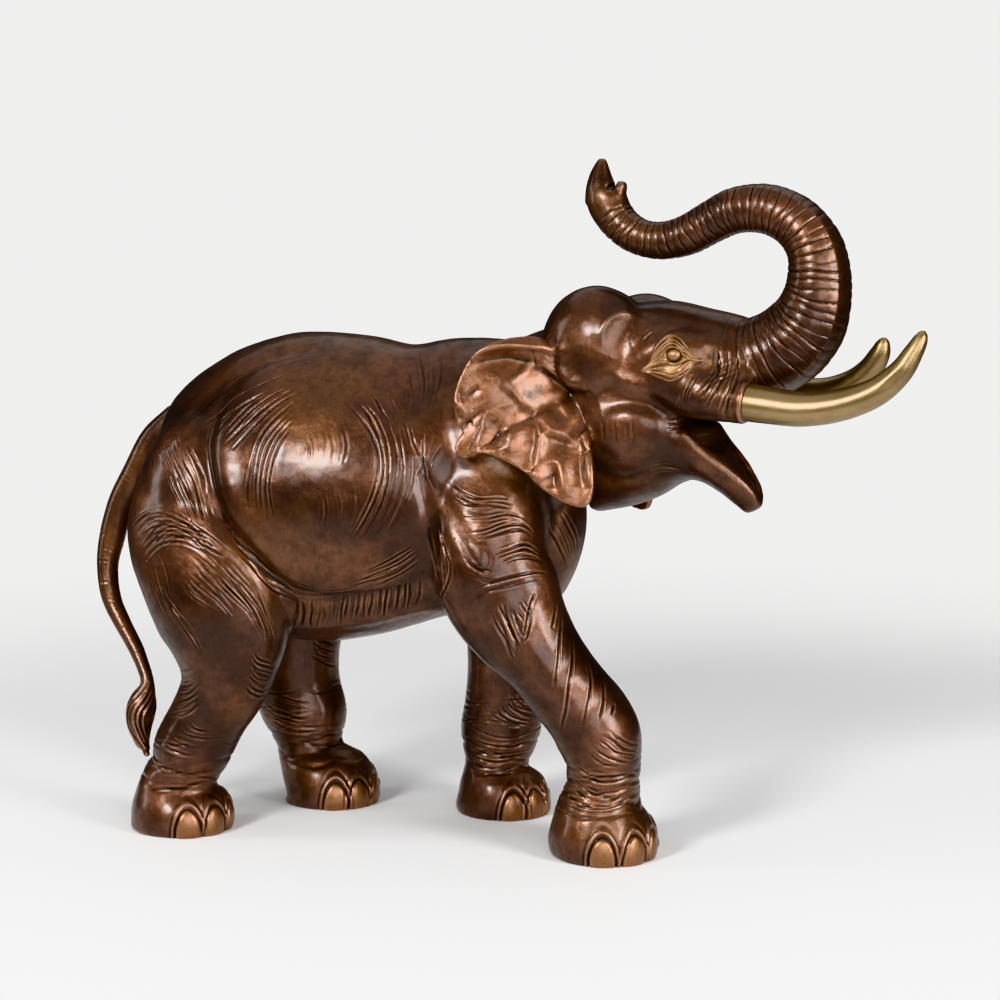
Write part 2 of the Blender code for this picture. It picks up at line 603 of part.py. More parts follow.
class Relief:
    """The skin's points and normals, and where the carving has moved the points to."""

    def __init__(self, obj):
        self.mesh = obj.data
        self.points = self.read("co")
        self.normals = self.read("normal")
        self.moved = self.points.copy()

    def read(self, what):
        values = np.empty(len(self.mesh.vertices) * 3)
        self.mesh.vertices.foreach_get(what, values)
        return values.reshape(-1, 3)

    def push(self, index, distance):
        """Move the skin outward by a distance for each point of `index`."""
        self.moved[index] += self.normals[index] * distance[:, None]

    def fold(self, path, width, height, frame=None):
        """Raise or sink the skin along a path, fading out to nothing at both ends."""
        path = smooth_rows(path, 4)
        if frame is not None:
            path = path @ np.array(frame.to_3x3()).T + np.array(frame.translation)
        reach = 2.6 * width
        inside = (self.points > path.min(0) - reach) & (self.points < path.max(0) + reach)
        index = inside.all(1).nonzero()[0]
        gap, share = path_gap(self.points[index], path)
        fade = np.sqrt(np.sin(math.pi * np.clip(share, 0.02, 0.98)))
        self.push(index, height * np.exp(-((gap / width) ** 2)) * fade)

    def settle(self):
        """Write the moved skin back, with every sole cut flat at the ground."""
        self.moved[:, 2] = np.maximum(self.moved[:, 2], 0.0)
        self.mesh.vertices.foreach_set("co", self.moved.ravel())
        self.mesh.update()


def bell(distance, width):
    return np.exp(-((distance / width) ** 2))


def carve_folds(relief):
    for path, width, height in BODY_FOLDS:
        relief.fold(path, width, height)
        relief.fold(mirrored(path), width, height)
    for path, width, height in HEAD_FOLDS:
        relief.fold(path, width, height, HEAD_FRAME)
        relief.fold(mirrored(path), width, height, HEAD_FRAME)
    for path, width, height in MIDDLE_FOLDS:
        relief.fold(path, width, height, HEAD_FRAME)
    for path, width, height in EAR_FOLDS:
        relief.fold(path, width, height, HEAD_FRAME)
        relief.fold([left_ear_point(point) for point in path], width, height, HEAD_FRAME)


def carve_trunk(relief):
    """Grooves round the trunk, and the ridged band along its underside."""
    line = smooth_rows(TRUNK, 10)
    centres = line[:, :3]
    tangents, _, deep = spine_of(centres)
    lengths = np.linalg.norm(np.diff(centres, axis=0), axis=1)
    run = np.concatenate([[0], np.cumsum(lengths)])
    to_head = np.array(HEAD_FRAME.inverted())
    points = relief.points @ to_head[:3, :3].T + to_head[:3, 3]
    index = (relief.points[:, 2] > 0.42).nonzero()[0]
    nearest = np.full(len(index), np.inf)
    which = np.zeros(len(index), int)
    for i, row in enumerate(line):
        gap = np.linalg.norm(points[index] - row[:3], axis=1) / row[4]
        closer = gap < nearest
        nearest[closer] = gap[closer]
        which[closer] = i
    on_trunk = nearest < 1.25
    index = index[on_trunk]
    which = which[on_trunk]
    offset = points[index] - centres[which]
    share = (run[which] + (offset * tangents[which]).sum(1)) / run[-1]
    angle = np.abs(np.arctan2(offset[:, 1], -(offset * deep[which]).sum(1)))
    first, last = RINGED_STRETCH
    phase = (share - first) / (last - first) * TRUNK_RINGS
    ringed = np.clip((share - first) / 0.06, 0, 1) * np.clip((last - share) / 0.02, 0, 1)
    on_side = np.clip((angle - BAND_HALF_ANGLE) / 0.12, 0, 1)
    groove = RING_DEPTH * bell(phase - np.round(phase), RING_SHARPNESS) * (0.35 + 0.65 * on_side)
    band = BAND_DEPTH * (1 - on_side) - BAND_RIDGE * bell(angle - BAND_HALF_ANGLE, 0.14)
    relief.push(index, -(groove + band) * ringed)


def carve_toenails(relief):
    """Domed toenails, each with a cuticle round it, along the front of every foot."""
    everywhere = np.arange(len(relief.points))
    for centre, radius, bearings in FEET:
        offset = relief.points[:, :2] - centre
        around = np.arctan2(offset[:, 1], offset[:, 0])
        height = np.maximum(relief.points[:, 2], 0)
        foot = (np.hypot(*offset.T) < radius + 0.02) & (height < 0.05)
        for bearing in np.radians(bearings):
            turn = (around - bearing + math.pi) % (2 * math.pi) - math.pi
            out = np.hypot(turn * radius / NAIL_HALF_WIDTH, height / NAIL_HEIGHT)
            dome = NAIL_RISE * np.sqrt(np.clip(1 - out**2, 0, 1))
            cuticle = CUTICLE_RISE * bell(out - 1.22, 0.12) - CUTICLE_DEPTH * bell(out - 1.03, 0.10)
            relief.push(everywhere, np.where(foot, dome + cuticle, 0.0))


def carve_ankles(relief):
    """Wavy folds round every ankle."""
    everywhere = np.arange(len(relief.points))
    for centre, heights in ANKLES:
        offset = relief.points[:, :2] - centre
        leg = np.hypot(*offset.T) < ANKLE_REACH
        around = np.arctan2(offset[:, 1], offset[:, 0])
        for height in heights:
            wave = height + 0.003 * np.sin(3 * around + 200 * height)
            fold = -ANKLE_FOLD_DEPTH * bell(relief.points[:, 2] - wave, ANKLE_FOLD_WIDTH)
            relief.push(everywhere, np.where(leg, fold, 0.0))


def thin_out(obj, triangles):
    """Thin the skin down to about `triangles`, and leave the head finer than the body."""
    group = obj.vertex_groups.new(name="may be thinned")
    for vert in obj.data.vertices:
        on_head = vert.co.x > HEAD_STARTS_AT_X and vert.co.z > HEAD_STARTS_AT_Z
        group.add([vert.index], HEAD_THINNING if on_head else 1.0, "REPLACE")
    thin = obj.modifiers.new("fewer triangles", "DECIMATE")
    thin.ratio = triangles / (2 * len(obj.data.polygons))
    thin.vertex_group = group.name
    thin.vertex_group_factor = THINNING_WEIGHT
    apply_modifiers(obj)
    obj.vertex_groups.clear()


def material(name, colour, roughness):
    made = bpy.data.materials.new(name)
    made.use_nodes = True
    shader = made.node_tree.nodes["Principled BSDF"]
    shader.inputs["Base Color"].default_value = (*colour, 1.0)
    shader.inputs["Metallic"].default_value = 1.0
    shader.inputs["Roughness"].default_value = roughness
    return made


def make_casting():
    core = fuse("core", core_pieces(), CORE_VOXEL, CORE_SMOOTHING)
    casting = fuse("elephant_casting", [core, *thin_pieces()], SKIN_VOXEL, SKIN_SMOOTHING)
    keep_largest_shell(casting)
    relief = Relief(casting)
    carve_folds(relief)
    carve_trunk(relief)
    carve_toenails(relief)
    carve_ankles(relief)
    relief.settle()
    thin_out(casting, CASTING_TRIANGLES)
    casting.data.materials.append(material("bronze", BRONZE_COLOUR, BRONZE_ROUGHNESS))
    return casting


def make_tusk(name, stations, casting):
    """A tusk, and the cutter that opens its seat in the casting with a hair's clearance all round."""
    tusk = loft(name, stations, HEAD_FRAME, TUSK_STEPS, TUSK_SIDES)
    tusk.data.materials.append(material(name, TUSK_COLOUR, TUSK_ROUGHNESS))
    seat = [
        (*place, across + SEAT_CLEARANCE, deep + SEAT_CLEARANCE) for *place, across, deep in stations
    ]
    seat[0] = (seat[0][0] - SEAT_CLEARANCE, *seat[0][1:])
    cutter = loft(name + "_seat", seat, HEAD_FRAME, TUSK_STEPS, TUSK_SIDES)
    hole = casting.modifiers.new(name + " seat", "BOOLEAN")
    hole.operation = "DIFFERENCE"
    hole.solver = "EXACT"
    hole.object = cutter
    return tusk, cutter


def gather(name, objects, wire=False):
    """Move the objects into a collection of their own."""
    group = bpy.data.collections.new(name)
    bpy.context.scene.collection.children.link(group)
    for obj in objects:
        for old in list(obj.users_collection):
            old.objects.unlink(obj)
        group.objects.link(obj)
        if wire:
            obj.hide_render = True
            obj.display_type = "WIRE"


def stand_over_origin(objects):
    """An empty to hang everything on, placed so that the middle of the whole box is over the origin."""
    bpy.context.view_layer.update()
    corners = []
    for obj in objects:
        places = np.empty(len(obj.data.vertices) * 3)
        obj.data.vertices.foreach_get("co", places)
        turned = places.reshape(-1, 3) @ np.array(obj.matrix_world.to_3x3()).T
        moved = turned + np.array(obj.matrix_world.translation)
        corners += [moved.min(0), moved.max(0)]
    middle = (np.min(corners, axis=0) + np.max(corners, axis=0)) / 2
    stand = bpy.data.objects.new("elephant", None)
    bpy.context.scene.collection.objects.link(stand)
    stand.location = (-middle[0], -middle[1], 0.0)
    return stand


def build():
    for obj in list(bpy.data.objects):
        bpy.data.objects.remove(obj)
    casting = make_casting()
    right_tusk, right_seat = make_tusk("tusk_right", RIGHT_TUSK, casting)
    left_tusk, left_seat = make_tusk("tusk_left", LEFT_TUSK, casting)
    parts = [casting, right_tusk, left_tusk]
    cutters = [right_seat, left_seat]
    stand = stand_over_origin(parts)
    for obj in parts + cutters:
        obj.parent = stand
    gather("bronze_elephant", [stand, *parts])
    gather("cutters", cutters, wire=True)


build()
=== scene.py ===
# %% [markdown]
# # A walking bronze elephant
# This lesson dresses a cast bronze elephant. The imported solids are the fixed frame: they say where the piece
# stands and how large it is. The casting is remade here from the same sizes, but with a skin fine enough to
# carry every line the chaser cut into it. Numbers are metres, +X is the way the elephant walks and +Z is up.

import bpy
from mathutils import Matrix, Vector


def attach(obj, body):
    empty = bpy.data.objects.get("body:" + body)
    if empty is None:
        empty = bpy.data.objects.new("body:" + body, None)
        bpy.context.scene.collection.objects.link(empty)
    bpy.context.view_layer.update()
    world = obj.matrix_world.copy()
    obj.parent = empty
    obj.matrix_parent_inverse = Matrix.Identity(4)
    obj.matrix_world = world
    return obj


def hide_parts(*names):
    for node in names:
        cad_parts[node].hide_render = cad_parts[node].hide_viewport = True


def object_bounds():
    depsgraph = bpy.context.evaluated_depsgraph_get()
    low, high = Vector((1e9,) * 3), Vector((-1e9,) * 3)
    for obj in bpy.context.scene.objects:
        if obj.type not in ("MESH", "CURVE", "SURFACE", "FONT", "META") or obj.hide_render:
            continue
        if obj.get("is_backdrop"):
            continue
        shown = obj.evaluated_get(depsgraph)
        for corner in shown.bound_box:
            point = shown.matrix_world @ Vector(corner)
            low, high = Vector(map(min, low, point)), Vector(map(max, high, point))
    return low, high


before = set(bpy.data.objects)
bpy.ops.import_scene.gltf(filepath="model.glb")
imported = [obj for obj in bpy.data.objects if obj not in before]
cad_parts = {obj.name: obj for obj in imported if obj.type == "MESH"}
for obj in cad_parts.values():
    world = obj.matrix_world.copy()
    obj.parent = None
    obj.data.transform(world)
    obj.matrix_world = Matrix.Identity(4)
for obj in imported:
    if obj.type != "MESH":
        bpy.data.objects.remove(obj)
cad_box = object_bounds()
print("the solids fill", [[round(value, 4) for value in corner] for corner in cad_box])

# %% The tools of this lesson
import math

import bmesh
import bpy
import numpy as np
from mathutils import Matrix, Vector
from mathutils.kdtree import KDTree

print("Blender", bpy.app.version_string)

# %% [markdown]
# ## Camera
# A long lens from well back keeps the proportions of a statue true. The camera is aimed by three directions
# worked out from its bearing and its height, which is easier to read than three Euler angles.

# %% Camera
CAMERA_BEARING = math.radians(13.5)
CAMERA_HEIGHT = math.radians(8.0)
CAMERA_DISTANCE = 2.6
CAMERA_LENS = 93.6
LOOK_AT = Vector((0.0001, 0.0036, 0.337))

back = Vector((
    math.sin(CAMERA_BEARING) * math.cos(CAMERA_HEIGHT),
    -math.cos(CAMERA_BEARING) * math.cos(CAMERA_HEIGHT),
    math.sin(CAMERA_HEIGHT),
))
side = Vector((math.cos(CAMERA_BEARING), math.sin(CAMERA_BEARING), 0.0))
camera = bpy.data.objects.new("camera", bpy.data.cameras.new("camera"))
camera.data.lens = CAMERA_LENS
camera.matrix_world = Matrix((side, back.cross(side), back)).transposed().to_4x4()
camera.matrix_world.translation = LOOK_AT + back * CAMERA_DISTANCE
bpy.context.scene.collection.objects.link(camera)
bpy.context.scene.camera = camera
print("camera", [round(value, 3) for value in camera.matrix_world.translation])

# %% [markdown]
# ## Shader sums as Python
# Long node trees are hard to follow. `Wire` wraps one output of a node, so that `1 - mask * 0.5` adds the
# Math nodes by itself, and `Finish` adds every other node with a single method: its type, its settings, then
# the values or wires of its sockets.

# %% Wires
class Wire:
    """A number, colour or vector that flows out of a node."""

    def __init__(self, finish, socket):
        self.finish = finish
        self.socket = socket

    def sum_with(self, operation, first, second):
        return self.finish.node("ShaderNodeMath", {"operation": operation}, {0: first, 1: second})

    def __add__(self, other):
        return self.sum_with("ADD", self, other)

    def __radd__(self, other):
        return self.sum_with("ADD", other, self)

    def __sub__(self, other):
        return self.sum_with("SUBTRACT", self, other)

    def __rsub__(self, other):
        return self.sum_with("SUBTRACT", other, self)

    def __mul__(self, other):
        return self.sum_with("MULTIPLY", self, other)

    def __rmul__(self, other):
        return self.sum_with("MULTIPLY", other, self)


print("wires can be added, subtracted and multiplied")

# %% Finishes
class Finish:
    """A material, its node tree and its Principled shader."""

    def __init__(self, name, metallic, roughness, coat=0.0, coat_roughness=0.1):
        self.material = bpy.data.materials.new(name)
        self.material.use_nodes = True
        self.tree = self.material.node_tree
        self.shader = self.tree.nodes["Principled BSDF"]
        self.shader.inputs["Metallic"].default_value = metallic
        self.shader.inputs["Roughness"].default_value = roughness
        self.shader.inputs["Coat Weight"].default_value = coat
        self.shader.inputs["Coat Roughness"].default_value = coat_roughness

    def node(self, kind, settings=None, inputs=None, output=0):
        made = self.tree.nodes.new(kind)
        for name, value in (settings or {}).items():
            setattr(made, name, value)
        for name, value in (inputs or {}).items():
            self.feed(made.inputs[name], value)
        return Wire(self, made.outputs[output])

    def feed(self, socket, value):
        if isinstance(value, Wire):
            self.tree.links.new(value.socket, socket)
        else:
            socket.default_value = value

    def set(self, name, value):
        self.feed(self.shader.inputs[name], value)

    def painted(self, attribute):
        """A number that was written on the mesh, point by point."""
        return self.node("ShaderNodeAttribute", {"attribute_name": attribute}, output="Fac")

    def noise(self, size, detail=4.0, roughness=0.5, stretch=(1.0, 1.0, 1.0)):
        """Cloudy noise whose blotches are about `size` metres across."""
        place = self.node("ShaderNodeTexCoord", output="Object")
        scaled = self.node("ShaderNodeVectorMath", {"operation": "MULTIPLY"}, {0: place, 1: stretch})
        sockets = {"Vector": scaled, "Scale": 1.0 / size, "Detail": detail, "Roughness": roughness}
        return self.node("ShaderNodeTexNoise", None, sockets)

    def between(self, value, low, high):
        """0 below `low`, 1 above `high`, and a smooth step between them."""
        sockets = {"Value": value, "From Min": low, "From Max": high}
        return self.node("ShaderNodeMapRange", {"interpolation_type": "SMOOTHSTEP"}, sockets)

    def mixed(self, share, first, second):
        """The first colour where `share` is 0, and the second where it is 1."""
        sockets = {0: share}
        sockets[6] = first if isinstance(first, Wire) else (*first, 1.0)
        sockets[7] = second if isinstance(second, Wire) else (*second, 1.0)
        return self.node("ShaderNodeMix", {"data_type": "RGBA"}, sockets, output=2)

    def bump(self, height, distance, strength=1.0, under=None):
        sockets = {"Height": height, "Distance": distance, "Strength": strength}
        if under is not None:
            sockets["Normal"] = under
        return self.node("ShaderNodeBump", None, sockets)


print("a finish makes its own nodes")

# %% [markdown]
# ## Floor and light
# Dark bronze is drawn by what it mirrors, so the lights are large and soft. The key lamp stands to the left
# of the camera and puts the sheen on belly and brow, and a wide fill on its right opens the shadows. A lamp
# on the far right draws the trunk and the knees, a weaker one on the left draws the rump, and a box hangs
# overhead. The floor is a round sheet of pale paper that fades out, so that no horizon cuts the picture.

# %% View
bpy.context.scene.view_settings.view_transform = "Khronos PBR Neutral"
print("view:", bpy.context.scene.view_settings.view_transform)

# %% Sky
world = bpy.data.worlds.new("studio")
bpy.context.scene.world = world
world.use_nodes = True
sky = world.node_tree.nodes
links = world.node_tree.links
SEEN_SKY, LIGHTING_SKY = 1.02, 0.10
sky["Background"].inputs["Color"].default_value = (1.0, 0.995, 0.99, 1.0)
ray = sky.new("ShaderNodeLightPath")
strength = sky.new("ShaderNodeMapRange")
strength.inputs["To Min"].default_value = LIGHTING_SKY
strength.inputs["To Max"].default_value = SEEN_SKY
links.new(ray.outputs["Is Camera Ray"], strength.inputs["Value"])
links.new(strength.outputs["Result"], sky["Background"].inputs["Strength"])
print("the sky is seen at", SEEN_SKY, "and lights at", LIGHTING_SKY)

# %% Floor
FLOOR_RADIUS, FLOOR_DROP = 4.0, 0.0002
FADE_FROM, FADE_TO = 0.6, 1.8
below = (0, 0, -FLOOR_DROP)
bpy.ops.mesh.primitive_circle_add(vertices=128, radius=FLOOR_RADIUS, fill_type="NGON", location=below)
floor = bpy.context.object
floor.name = "studio_floor"
paper = Finish("pale paper", 0.0, 0.55)
paper.set("Base Color", (0.93, 0.93, 0.93, 1.0))
place = paper.node("ShaderNodeTexCoord", output="Object")
reach = paper.node("ShaderNodeVectorMath", {"operation": "LENGTH"}, {0: place}, output="Value")
paper.set("Alpha", 1 - paper.between(reach, FADE_FROM, FADE_TO))
floor.data.materials.append(paper.material)
floor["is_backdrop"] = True
print("floor", FLOOR_RADIUS, "m in radius")

# %% Lights
LIGHTS = [
    # name, place, width, length, watts
    ("key lamp", (-1.15, -2.5, 1.55), 0.8, 0.8, 72.0),
    ("lamp to the right", (2.1, -1.2, 0.9), 0.8, 1.8, 54.0),
    ("lamp to the left", (-2.3, -0.6, 1.0), 0.5, 1.8, 14.0),
    ("fill in front", (1.3, -3.0, 0.9), 2.2, 1.8, 50.0),
    ("box overhead", (0.0, 0.3, 2.4), 4.0, 4.0, 36.0),
]
for name, spot, width, length, watts in LIGHTS:
    lamp = bpy.data.lights.new(name, "AREA")
    lamp.shape = "ELLIPSE"
    lamp.size = width
    lamp.size_y = length
    lamp.energy = watts
    holder = bpy.data.objects.new(name, lamp)
    bpy.context.scene.collection.objects.link(holder)
    holder.location = spot
    holder.rotation_euler = (LOOK_AT - Vector(spot)).to_track_quat("-Z", "Y").to_euler()
print(len(LIGHTS), "lights")

# %% [markdown]
# ## The form
# A founder's model starts as big masses: barrel, neck, four legs, head, trunk. Each is a loft, which is a
# tube through stations that give its middle and its two half-sizes. The head has its own frame, turned on the
# neck. The sizes are those of the solids, so the fine skin agrees with them. Long tables are written in
# millimetres, because whole numbers are easier to read and to change, and `metres` turns them into Blender's
# unit.

# %% Frames and units
HEAD_PIVOT, HEAD_TURN = (0.040, 0.0, 0.0), -15.0
HEAD_FRAME = Matrix.Translation(HEAD_PIVOT) @ Matrix.Rotation(math.radians(HEAD_TURN), 4, "Z")
RIGHT, LEFT = -1, 1


def metres(table):
    """The same table, with its millimetres turned into metres."""
    if isinstance(table, dict):
        return {name: metres(rows) for name, rows in table.items()}
    if isinstance(table, (list, tuple)):
        return type(table)(metres(entry) for entry in table)
    return table / 1000


print("the head is turned by", HEAD_TURN, "degrees")

# %% [markdown]
# The torso and the neck are lofts along the spine. Each row is a station: where its middle is, and how wide
# and how high it is on either side of that.

# %% Sizes of the torso and neck
# Torso, rump to chest: x, y, z, half-width, half-height
TORSO = metres([
    (-372, 0, 322, 40, 50), (-358, 0, 321, 74, 79), (-330, 0, 321, 98, 108), (-270, 0, 331, 114, 142),
    (-200, 0, 343, 124, 158), (-130, 0, 349, 127, 152), (-72, 0, 355, 119, 138), (-20, 0, 365, 100, 136),
    (30, 0, 374, 86, 125), (60, 0, 376, 72, 100), (80, 0, 370, 50, 62),
])
SPINE_RIDGE = 0.22
# Neck, shoulders to skull: x, y, z, half-width, half-height
NECK = metres([
    (-10, 0, 399, 70, 84), (45, -5, 418, 72, 85), (100, -18, 440, 64, 81), (130, -26, 455, 40, 50),
])
print("torso", len(TORSO), "stations, neck", len(NECK))

# %% [markdown]
# Every leg is a loft that runs down to its sole. The stations come closer together at the knee, the ankle and
# the foot, where the outline changes quickly.

# %% Sizes of the legs
# Legs, hip or shoulder to sole: x, y, z, half-width, half-length
LEGS = metres({
    "right hind": [
        (-292, -50, 380, 34, 60), (-286, -68, 320, 48, 84), (-274, -76, 275, 53, 84),
        (-267, -80, 231, 53, 73), (-261, -80, 192, 48, 60), (-266, -78, 153, 43, 45),
        (-285, -75, 117, 40, 39), (-303, -72, 84, 40, 40), (-312, -71, 62, 37, 35), (-324, -70, 48, 37, 34),
        (-323.5, -70, 32, 45, 45.5), (-318.5, -70, 16, 50, 53), (-316, -70, 3, 49, 51),
        (-316, -70, -6, 40, 42),
    ],
    "left hind": [
        (-266, 50, 370, 34, 58), (-260, 68, 310, 48, 80), (-254, 76, 250, 50, 74),
        (-249.5, 80, 200, 48, 63.5), (-247, 78, 155, 45, 53), (-240, 77, 118, 42, 47),
        (-230.5, 75, 90, 41, 45.5), (-227, 73, 66, 37, 37), (-226, 71, 50, 35, 32), (-219, 70, 37, 42, 38),
        (-205, 70, 19, 48, 51), (-202, 70, 3, 48, 51), (-202, 70, -6, 40, 42),
    ],
    "right fore": [
        (-2, -50, 400, 35, 56), (-2, -68, 340, 46, 62), (7, -78, 289, 50, 58), (22.5, -80, 254, 48, 58.5),
        (39, -80, 225, 46, 51), (64, -79, 193, 44, 41), (86, -78, 164, 43, 40), (106, -76, 140, 42, 41),
        (117, -75, 119, 41, 42), (121, -73, 98, 38, 38), (121, -71, 78, 37, 36), (120, -70, 62, 39, 38),
        (118, -70, 46, 46, 44), (119.5, -70, 22, 53, 53.5), (121, -70, 3, 51, 52), (121, -70, -6, 43, 44),
    ],
    "left fore": [
        (10, 50, 400, 35, 52), (12, 66, 340, 44, 56), (6, 76, 280, 45, 50), (-3, 77, 230, 43, 46),
        (-10, 76, 180, 42, 42), (-11, 76, 150, 41, 41), (-13, 74, 116, 40, 41), (-17, 73, 85, 39, 42),
        (-20, 71, 62, 35, 36), (-21, 70, 48, 34, 33), (-20, 70, 36, 42, 40), (-16, 70, 20, 47, 48),
        (-14, 70, 3, 47, 49), (-14, 70, -6, 40, 41),
    ],
})
print(len(LEGS), "legs")

# %% [markdown]
# The tail hangs free of the rump, swings in towards the right heel and ends in a tuft like a flame.

# %% Sizes of the tail
# Tail, rump to the tip of the tuft: x, y, z, half-width, half-length
TAIL = metres([
    (-340, 0, 416, 10, 12), (-366, 0, 390, 12, 14), (-384, 0, 356, 14, 15), (-404, 0, 319, 13, 14.5),
    (-414.5, -2, 282, 12, 13.5), (-418, -6, 254, 11, 11), (-412, -12, 223, 10, 10),
    (-398, -20, 200, 9, 9), (-380, -30, 176, 8, 8), (-367, -38, 154, 7, 7), (-362, -43, 140, 7, 7.5),
    (-366, -47, 121, 13, 14.5), (-368, -51, 104, 13, 14.5), (-365, -55, 86, 8, 8.5), (-356, -60, 68, 3, 3),
])
print("tail", len(TAIL), "stations")

# %% [markdown]
# Muscles and bones are laid over the lofts as ellipsoids: haunches, shoulders, withers, chest and belly, and
# on the head the domes, brow, cheekbones and cheeks.

# %% Masses
# Haunches, shoulders, withers, chest and belly: centre, radii, nose-up pitch in degrees
BODY_MASSES = [
    ((-282, -56, 320), (82, 58, 112), 0), ((-266, 56, 320), (80, 56, 112), 0),
    ((0, -56, 355), (64, 46, 105), 8), ((8, 56, 355), (60, 44, 105), -4), ((-6, 0, 439), (70, 72, 57), 0),
    ((47, 0, 300), (38, 52, 80), -12), ((-145, 0, 310), (125, 108, 88), -4),
]
# In the head's frame: domes, skull, brow, rings of the eyes, cheeks, temples, corners of the mouth, lip over
# the tusks, and throat
HEAD_MASSES = [
    ((81, -33, 495), (59, 41, 61), 0), ((100, 35, 490), (56, 40, 56), 0), ((78, 0, 460), (76, 66, 68), 0),
    ((150, 0, 497), (60, 50, 40), 0), ((172, -44, 492), (40, 17, 26), 8),
    ((172, 44, 492), (40, 17, 26), 8), ((112, -36, 425), (56, 34, 52), 0),
    ((112, 36, 425), (56, 34, 52), 0), ((125, -26, 465), (66, 37, 50), 0),
    ((125, 26, 465), (66, 37, 50), 0), ((163, -35, 408), (20, 11, 19), 0),
    ((163, 35, 408), (20, 11, 19), 0), ((212, -39, 475), (38, 15, 16), 0),
    ((212, 39, 475), (38, 15, 16), 0), ((169, 0, 416), (28, 30, 16), 0),
]
print(len(BODY_MASSES), "masses on the body and", len(HEAD_MASSES), "on the head")

# %% [markdown]
# The head has its own frame: forward, left, up. The trunk rises from the face, arches back over the brow and
# ends in two fingers. The lower jaw drops to a point, and each tusk stands in a sleeve of lip.

# %% Sizes of the head
# Parts of the head, all in its frame. Face, brow to muzzle: forward, left, up, half-width, half-height
FACE = metres([
    (95, 0, 475, 62, 60), (140, 0, 486, 62, 56), (180, 0, 487, 56, 48), (215, 0, 484, 50, 44),
    (245, 0, 480, 38, 36),
])
# Trunk, face to its cupped end: forward, left, up, half-width, half-depth
TRUNK = metres([
    (165, 0, 486, 46, 42), (215, 0, 484, 44, 41), (255, 0, 496.5, 40, 40.5), (280, 0, 518.5, 36, 38.5),
    (291.5, 0, 544, 32, 33.5), (294, 0, 571, 30, 30), (288, 0, 597, 27, 27), (269, 0, 619, 25, 25.5),
    (240, 0, 630.5, 23, 24), (210, 0, 629, 21, 22.5), (185, 0, 618, 20, 21.2), (160, 0, 605, 19, 20),
    (135, 0, 599, 18, 19), (112, 0, 601, 17, 18.5), (92, 0, 611, 17, 19), (78, 0, 627, 17, 20),
    (72.5, 0, 639.5, 16.8, 20.2), (73.5, 0, 647.5, 15, 18),
])
UPPER_FINGER = metres([
    (68.5, 0, 634, 15, 17.5), (67, 0, 649, 14.2, 15), (66.5, 0, 659, 10.8, 11.5),
    (67.3, 0, 668, 7.4, 7.8), (68.5, 0, 674.5, 4.4, 4.6), (69, 0, 676.5, 2.4, 2.4),
])
LOWER_FINGER = metres([
    (84, 0, 638, 10, 7), (88, 0, 648, 8, 6), (90, 0, 654, 5, 4),
])
# Lower jaw, throat to lip: forward, left, up, half-width, half-height
JAW = metres([
    (60, 0, 377, 38, 47), (110, 0, 382, 45, 39), (145, 0, 391, 43, 29), (170, 0, 392, 38, 23),
    (190, 0, 384, 31, 18.5), (208, 0, 370.5, 23, 15), (222, 0, 355.5, 15, 12), (231, 0, 343, 8, 8),
])
# Lip, from the right corner of the mouth to the tip of the jaw
LIP = metres([
    (168, -40, 415, 7, 13), (186, -33, 397, 6.5, 13), (203, -25.5, 383, 6, 13), (218, -17, 370, 6, 12),
    (230, -8, 357, 6, 10), (235, -1, 345, 5, 6),
])
# Socket of the right tusk, cheek to rim: forward, left, up, half-width, half-height
SOCKET = metres([
    (150, -38, 470, 24, 30), (190, -44, 460, 23, 27), (220, -47, 455, 22, 23), (246, -47, 453, 20.5, 21.5),
])
print("trunk", len(TRUNK), "stations")

# %% Sizes of the tusks
# Tusks, root to tip: forward, left, up, radius across, radius deep
RIGHT_TUSK = metres([
    (228, -47, 453.5, 18, 18), (262, -47, 450.5, 17.4, 17.4), (298, -47, 448.5, 16.2, 16.2),
    (334, -45, 454, 15, 15), (366, -42, 466.5, 13.4, 13.4), (388, -39, 485, 11.4, 11.4),
    (400, -36, 504, 9, 9), (406, -34, 516.5, 6.6, 6.6), (407, -33, 522, 3.8, 3.8),
    (407, -33, 523.8, 1.4, 1.4),
])
LEFT_TUSK = metres([
    (228, 47, 453.5, 18, 18), (256, 47, 451.5, 17, 17), (286, 45, 454.5, 15.4, 15.4),
    (312, 42, 464.5, 13.8, 13.8), (330, 39, 478.5, 12, 12), (341, 36, 494, 10, 10),
    (345, 34, 504, 7.2, 7.2), (346, 33, 509, 4.2, 4.2), (346, 33, 511, 1.4, 1.4),
])
print("tusks", len(RIGHT_TUSK), "and", len(LEFT_TUSK), "stations")

# %% [markdown]
# An ear is a leaf of even thickness that spans from its root on the head to its rim. The left ear is the same
# leaf spread wider, swept back and hung lower, because nobody models two ears alike.

# %% Sizes of the ears
# Rim of the right ear, from its root above round to its root in front, and the line of the root
EAR_RIM = metres([
    (52, -56, 494), (36, -74, 506), (14, -90, 506), (-8, -104, 496), (-22, -114, 477), (-29, -120, 450),
    (-26, -121, 426), (-21, -118, 417), (-27, -123, 402), (-17, -121, 391), (1, -117, 397),
    (21, -112, 391), (42, -107, 379), (59, -101, 363), (81, -95, 351), (98, -89, 350), (103, -84, 368),
    (98, -79, 388), (86, -70, 414),
])
EAR_ROOT = metres([(60, -50, 486), (84, -54, 424)])
EAR_THICKNESS, EAR_BELLY, EAR_TOP = 0.0075, 0.008, 0.506
LEFT_EAR_SPREAD, LEFT_EAR_SWEEP, LEFT_EAR_DROP = 1.24, 0.044, 1.17
print("ear rim", len(EAR_RIM), "points")

# %% [markdown]
# ## Lofts, masses and ears
# A Catmull-Rom curve passes through every station, so a row in a table is a place on the finished piece.
# These helpers turn rows into closed meshes, which may overlap: the next step makes one skin round them all.

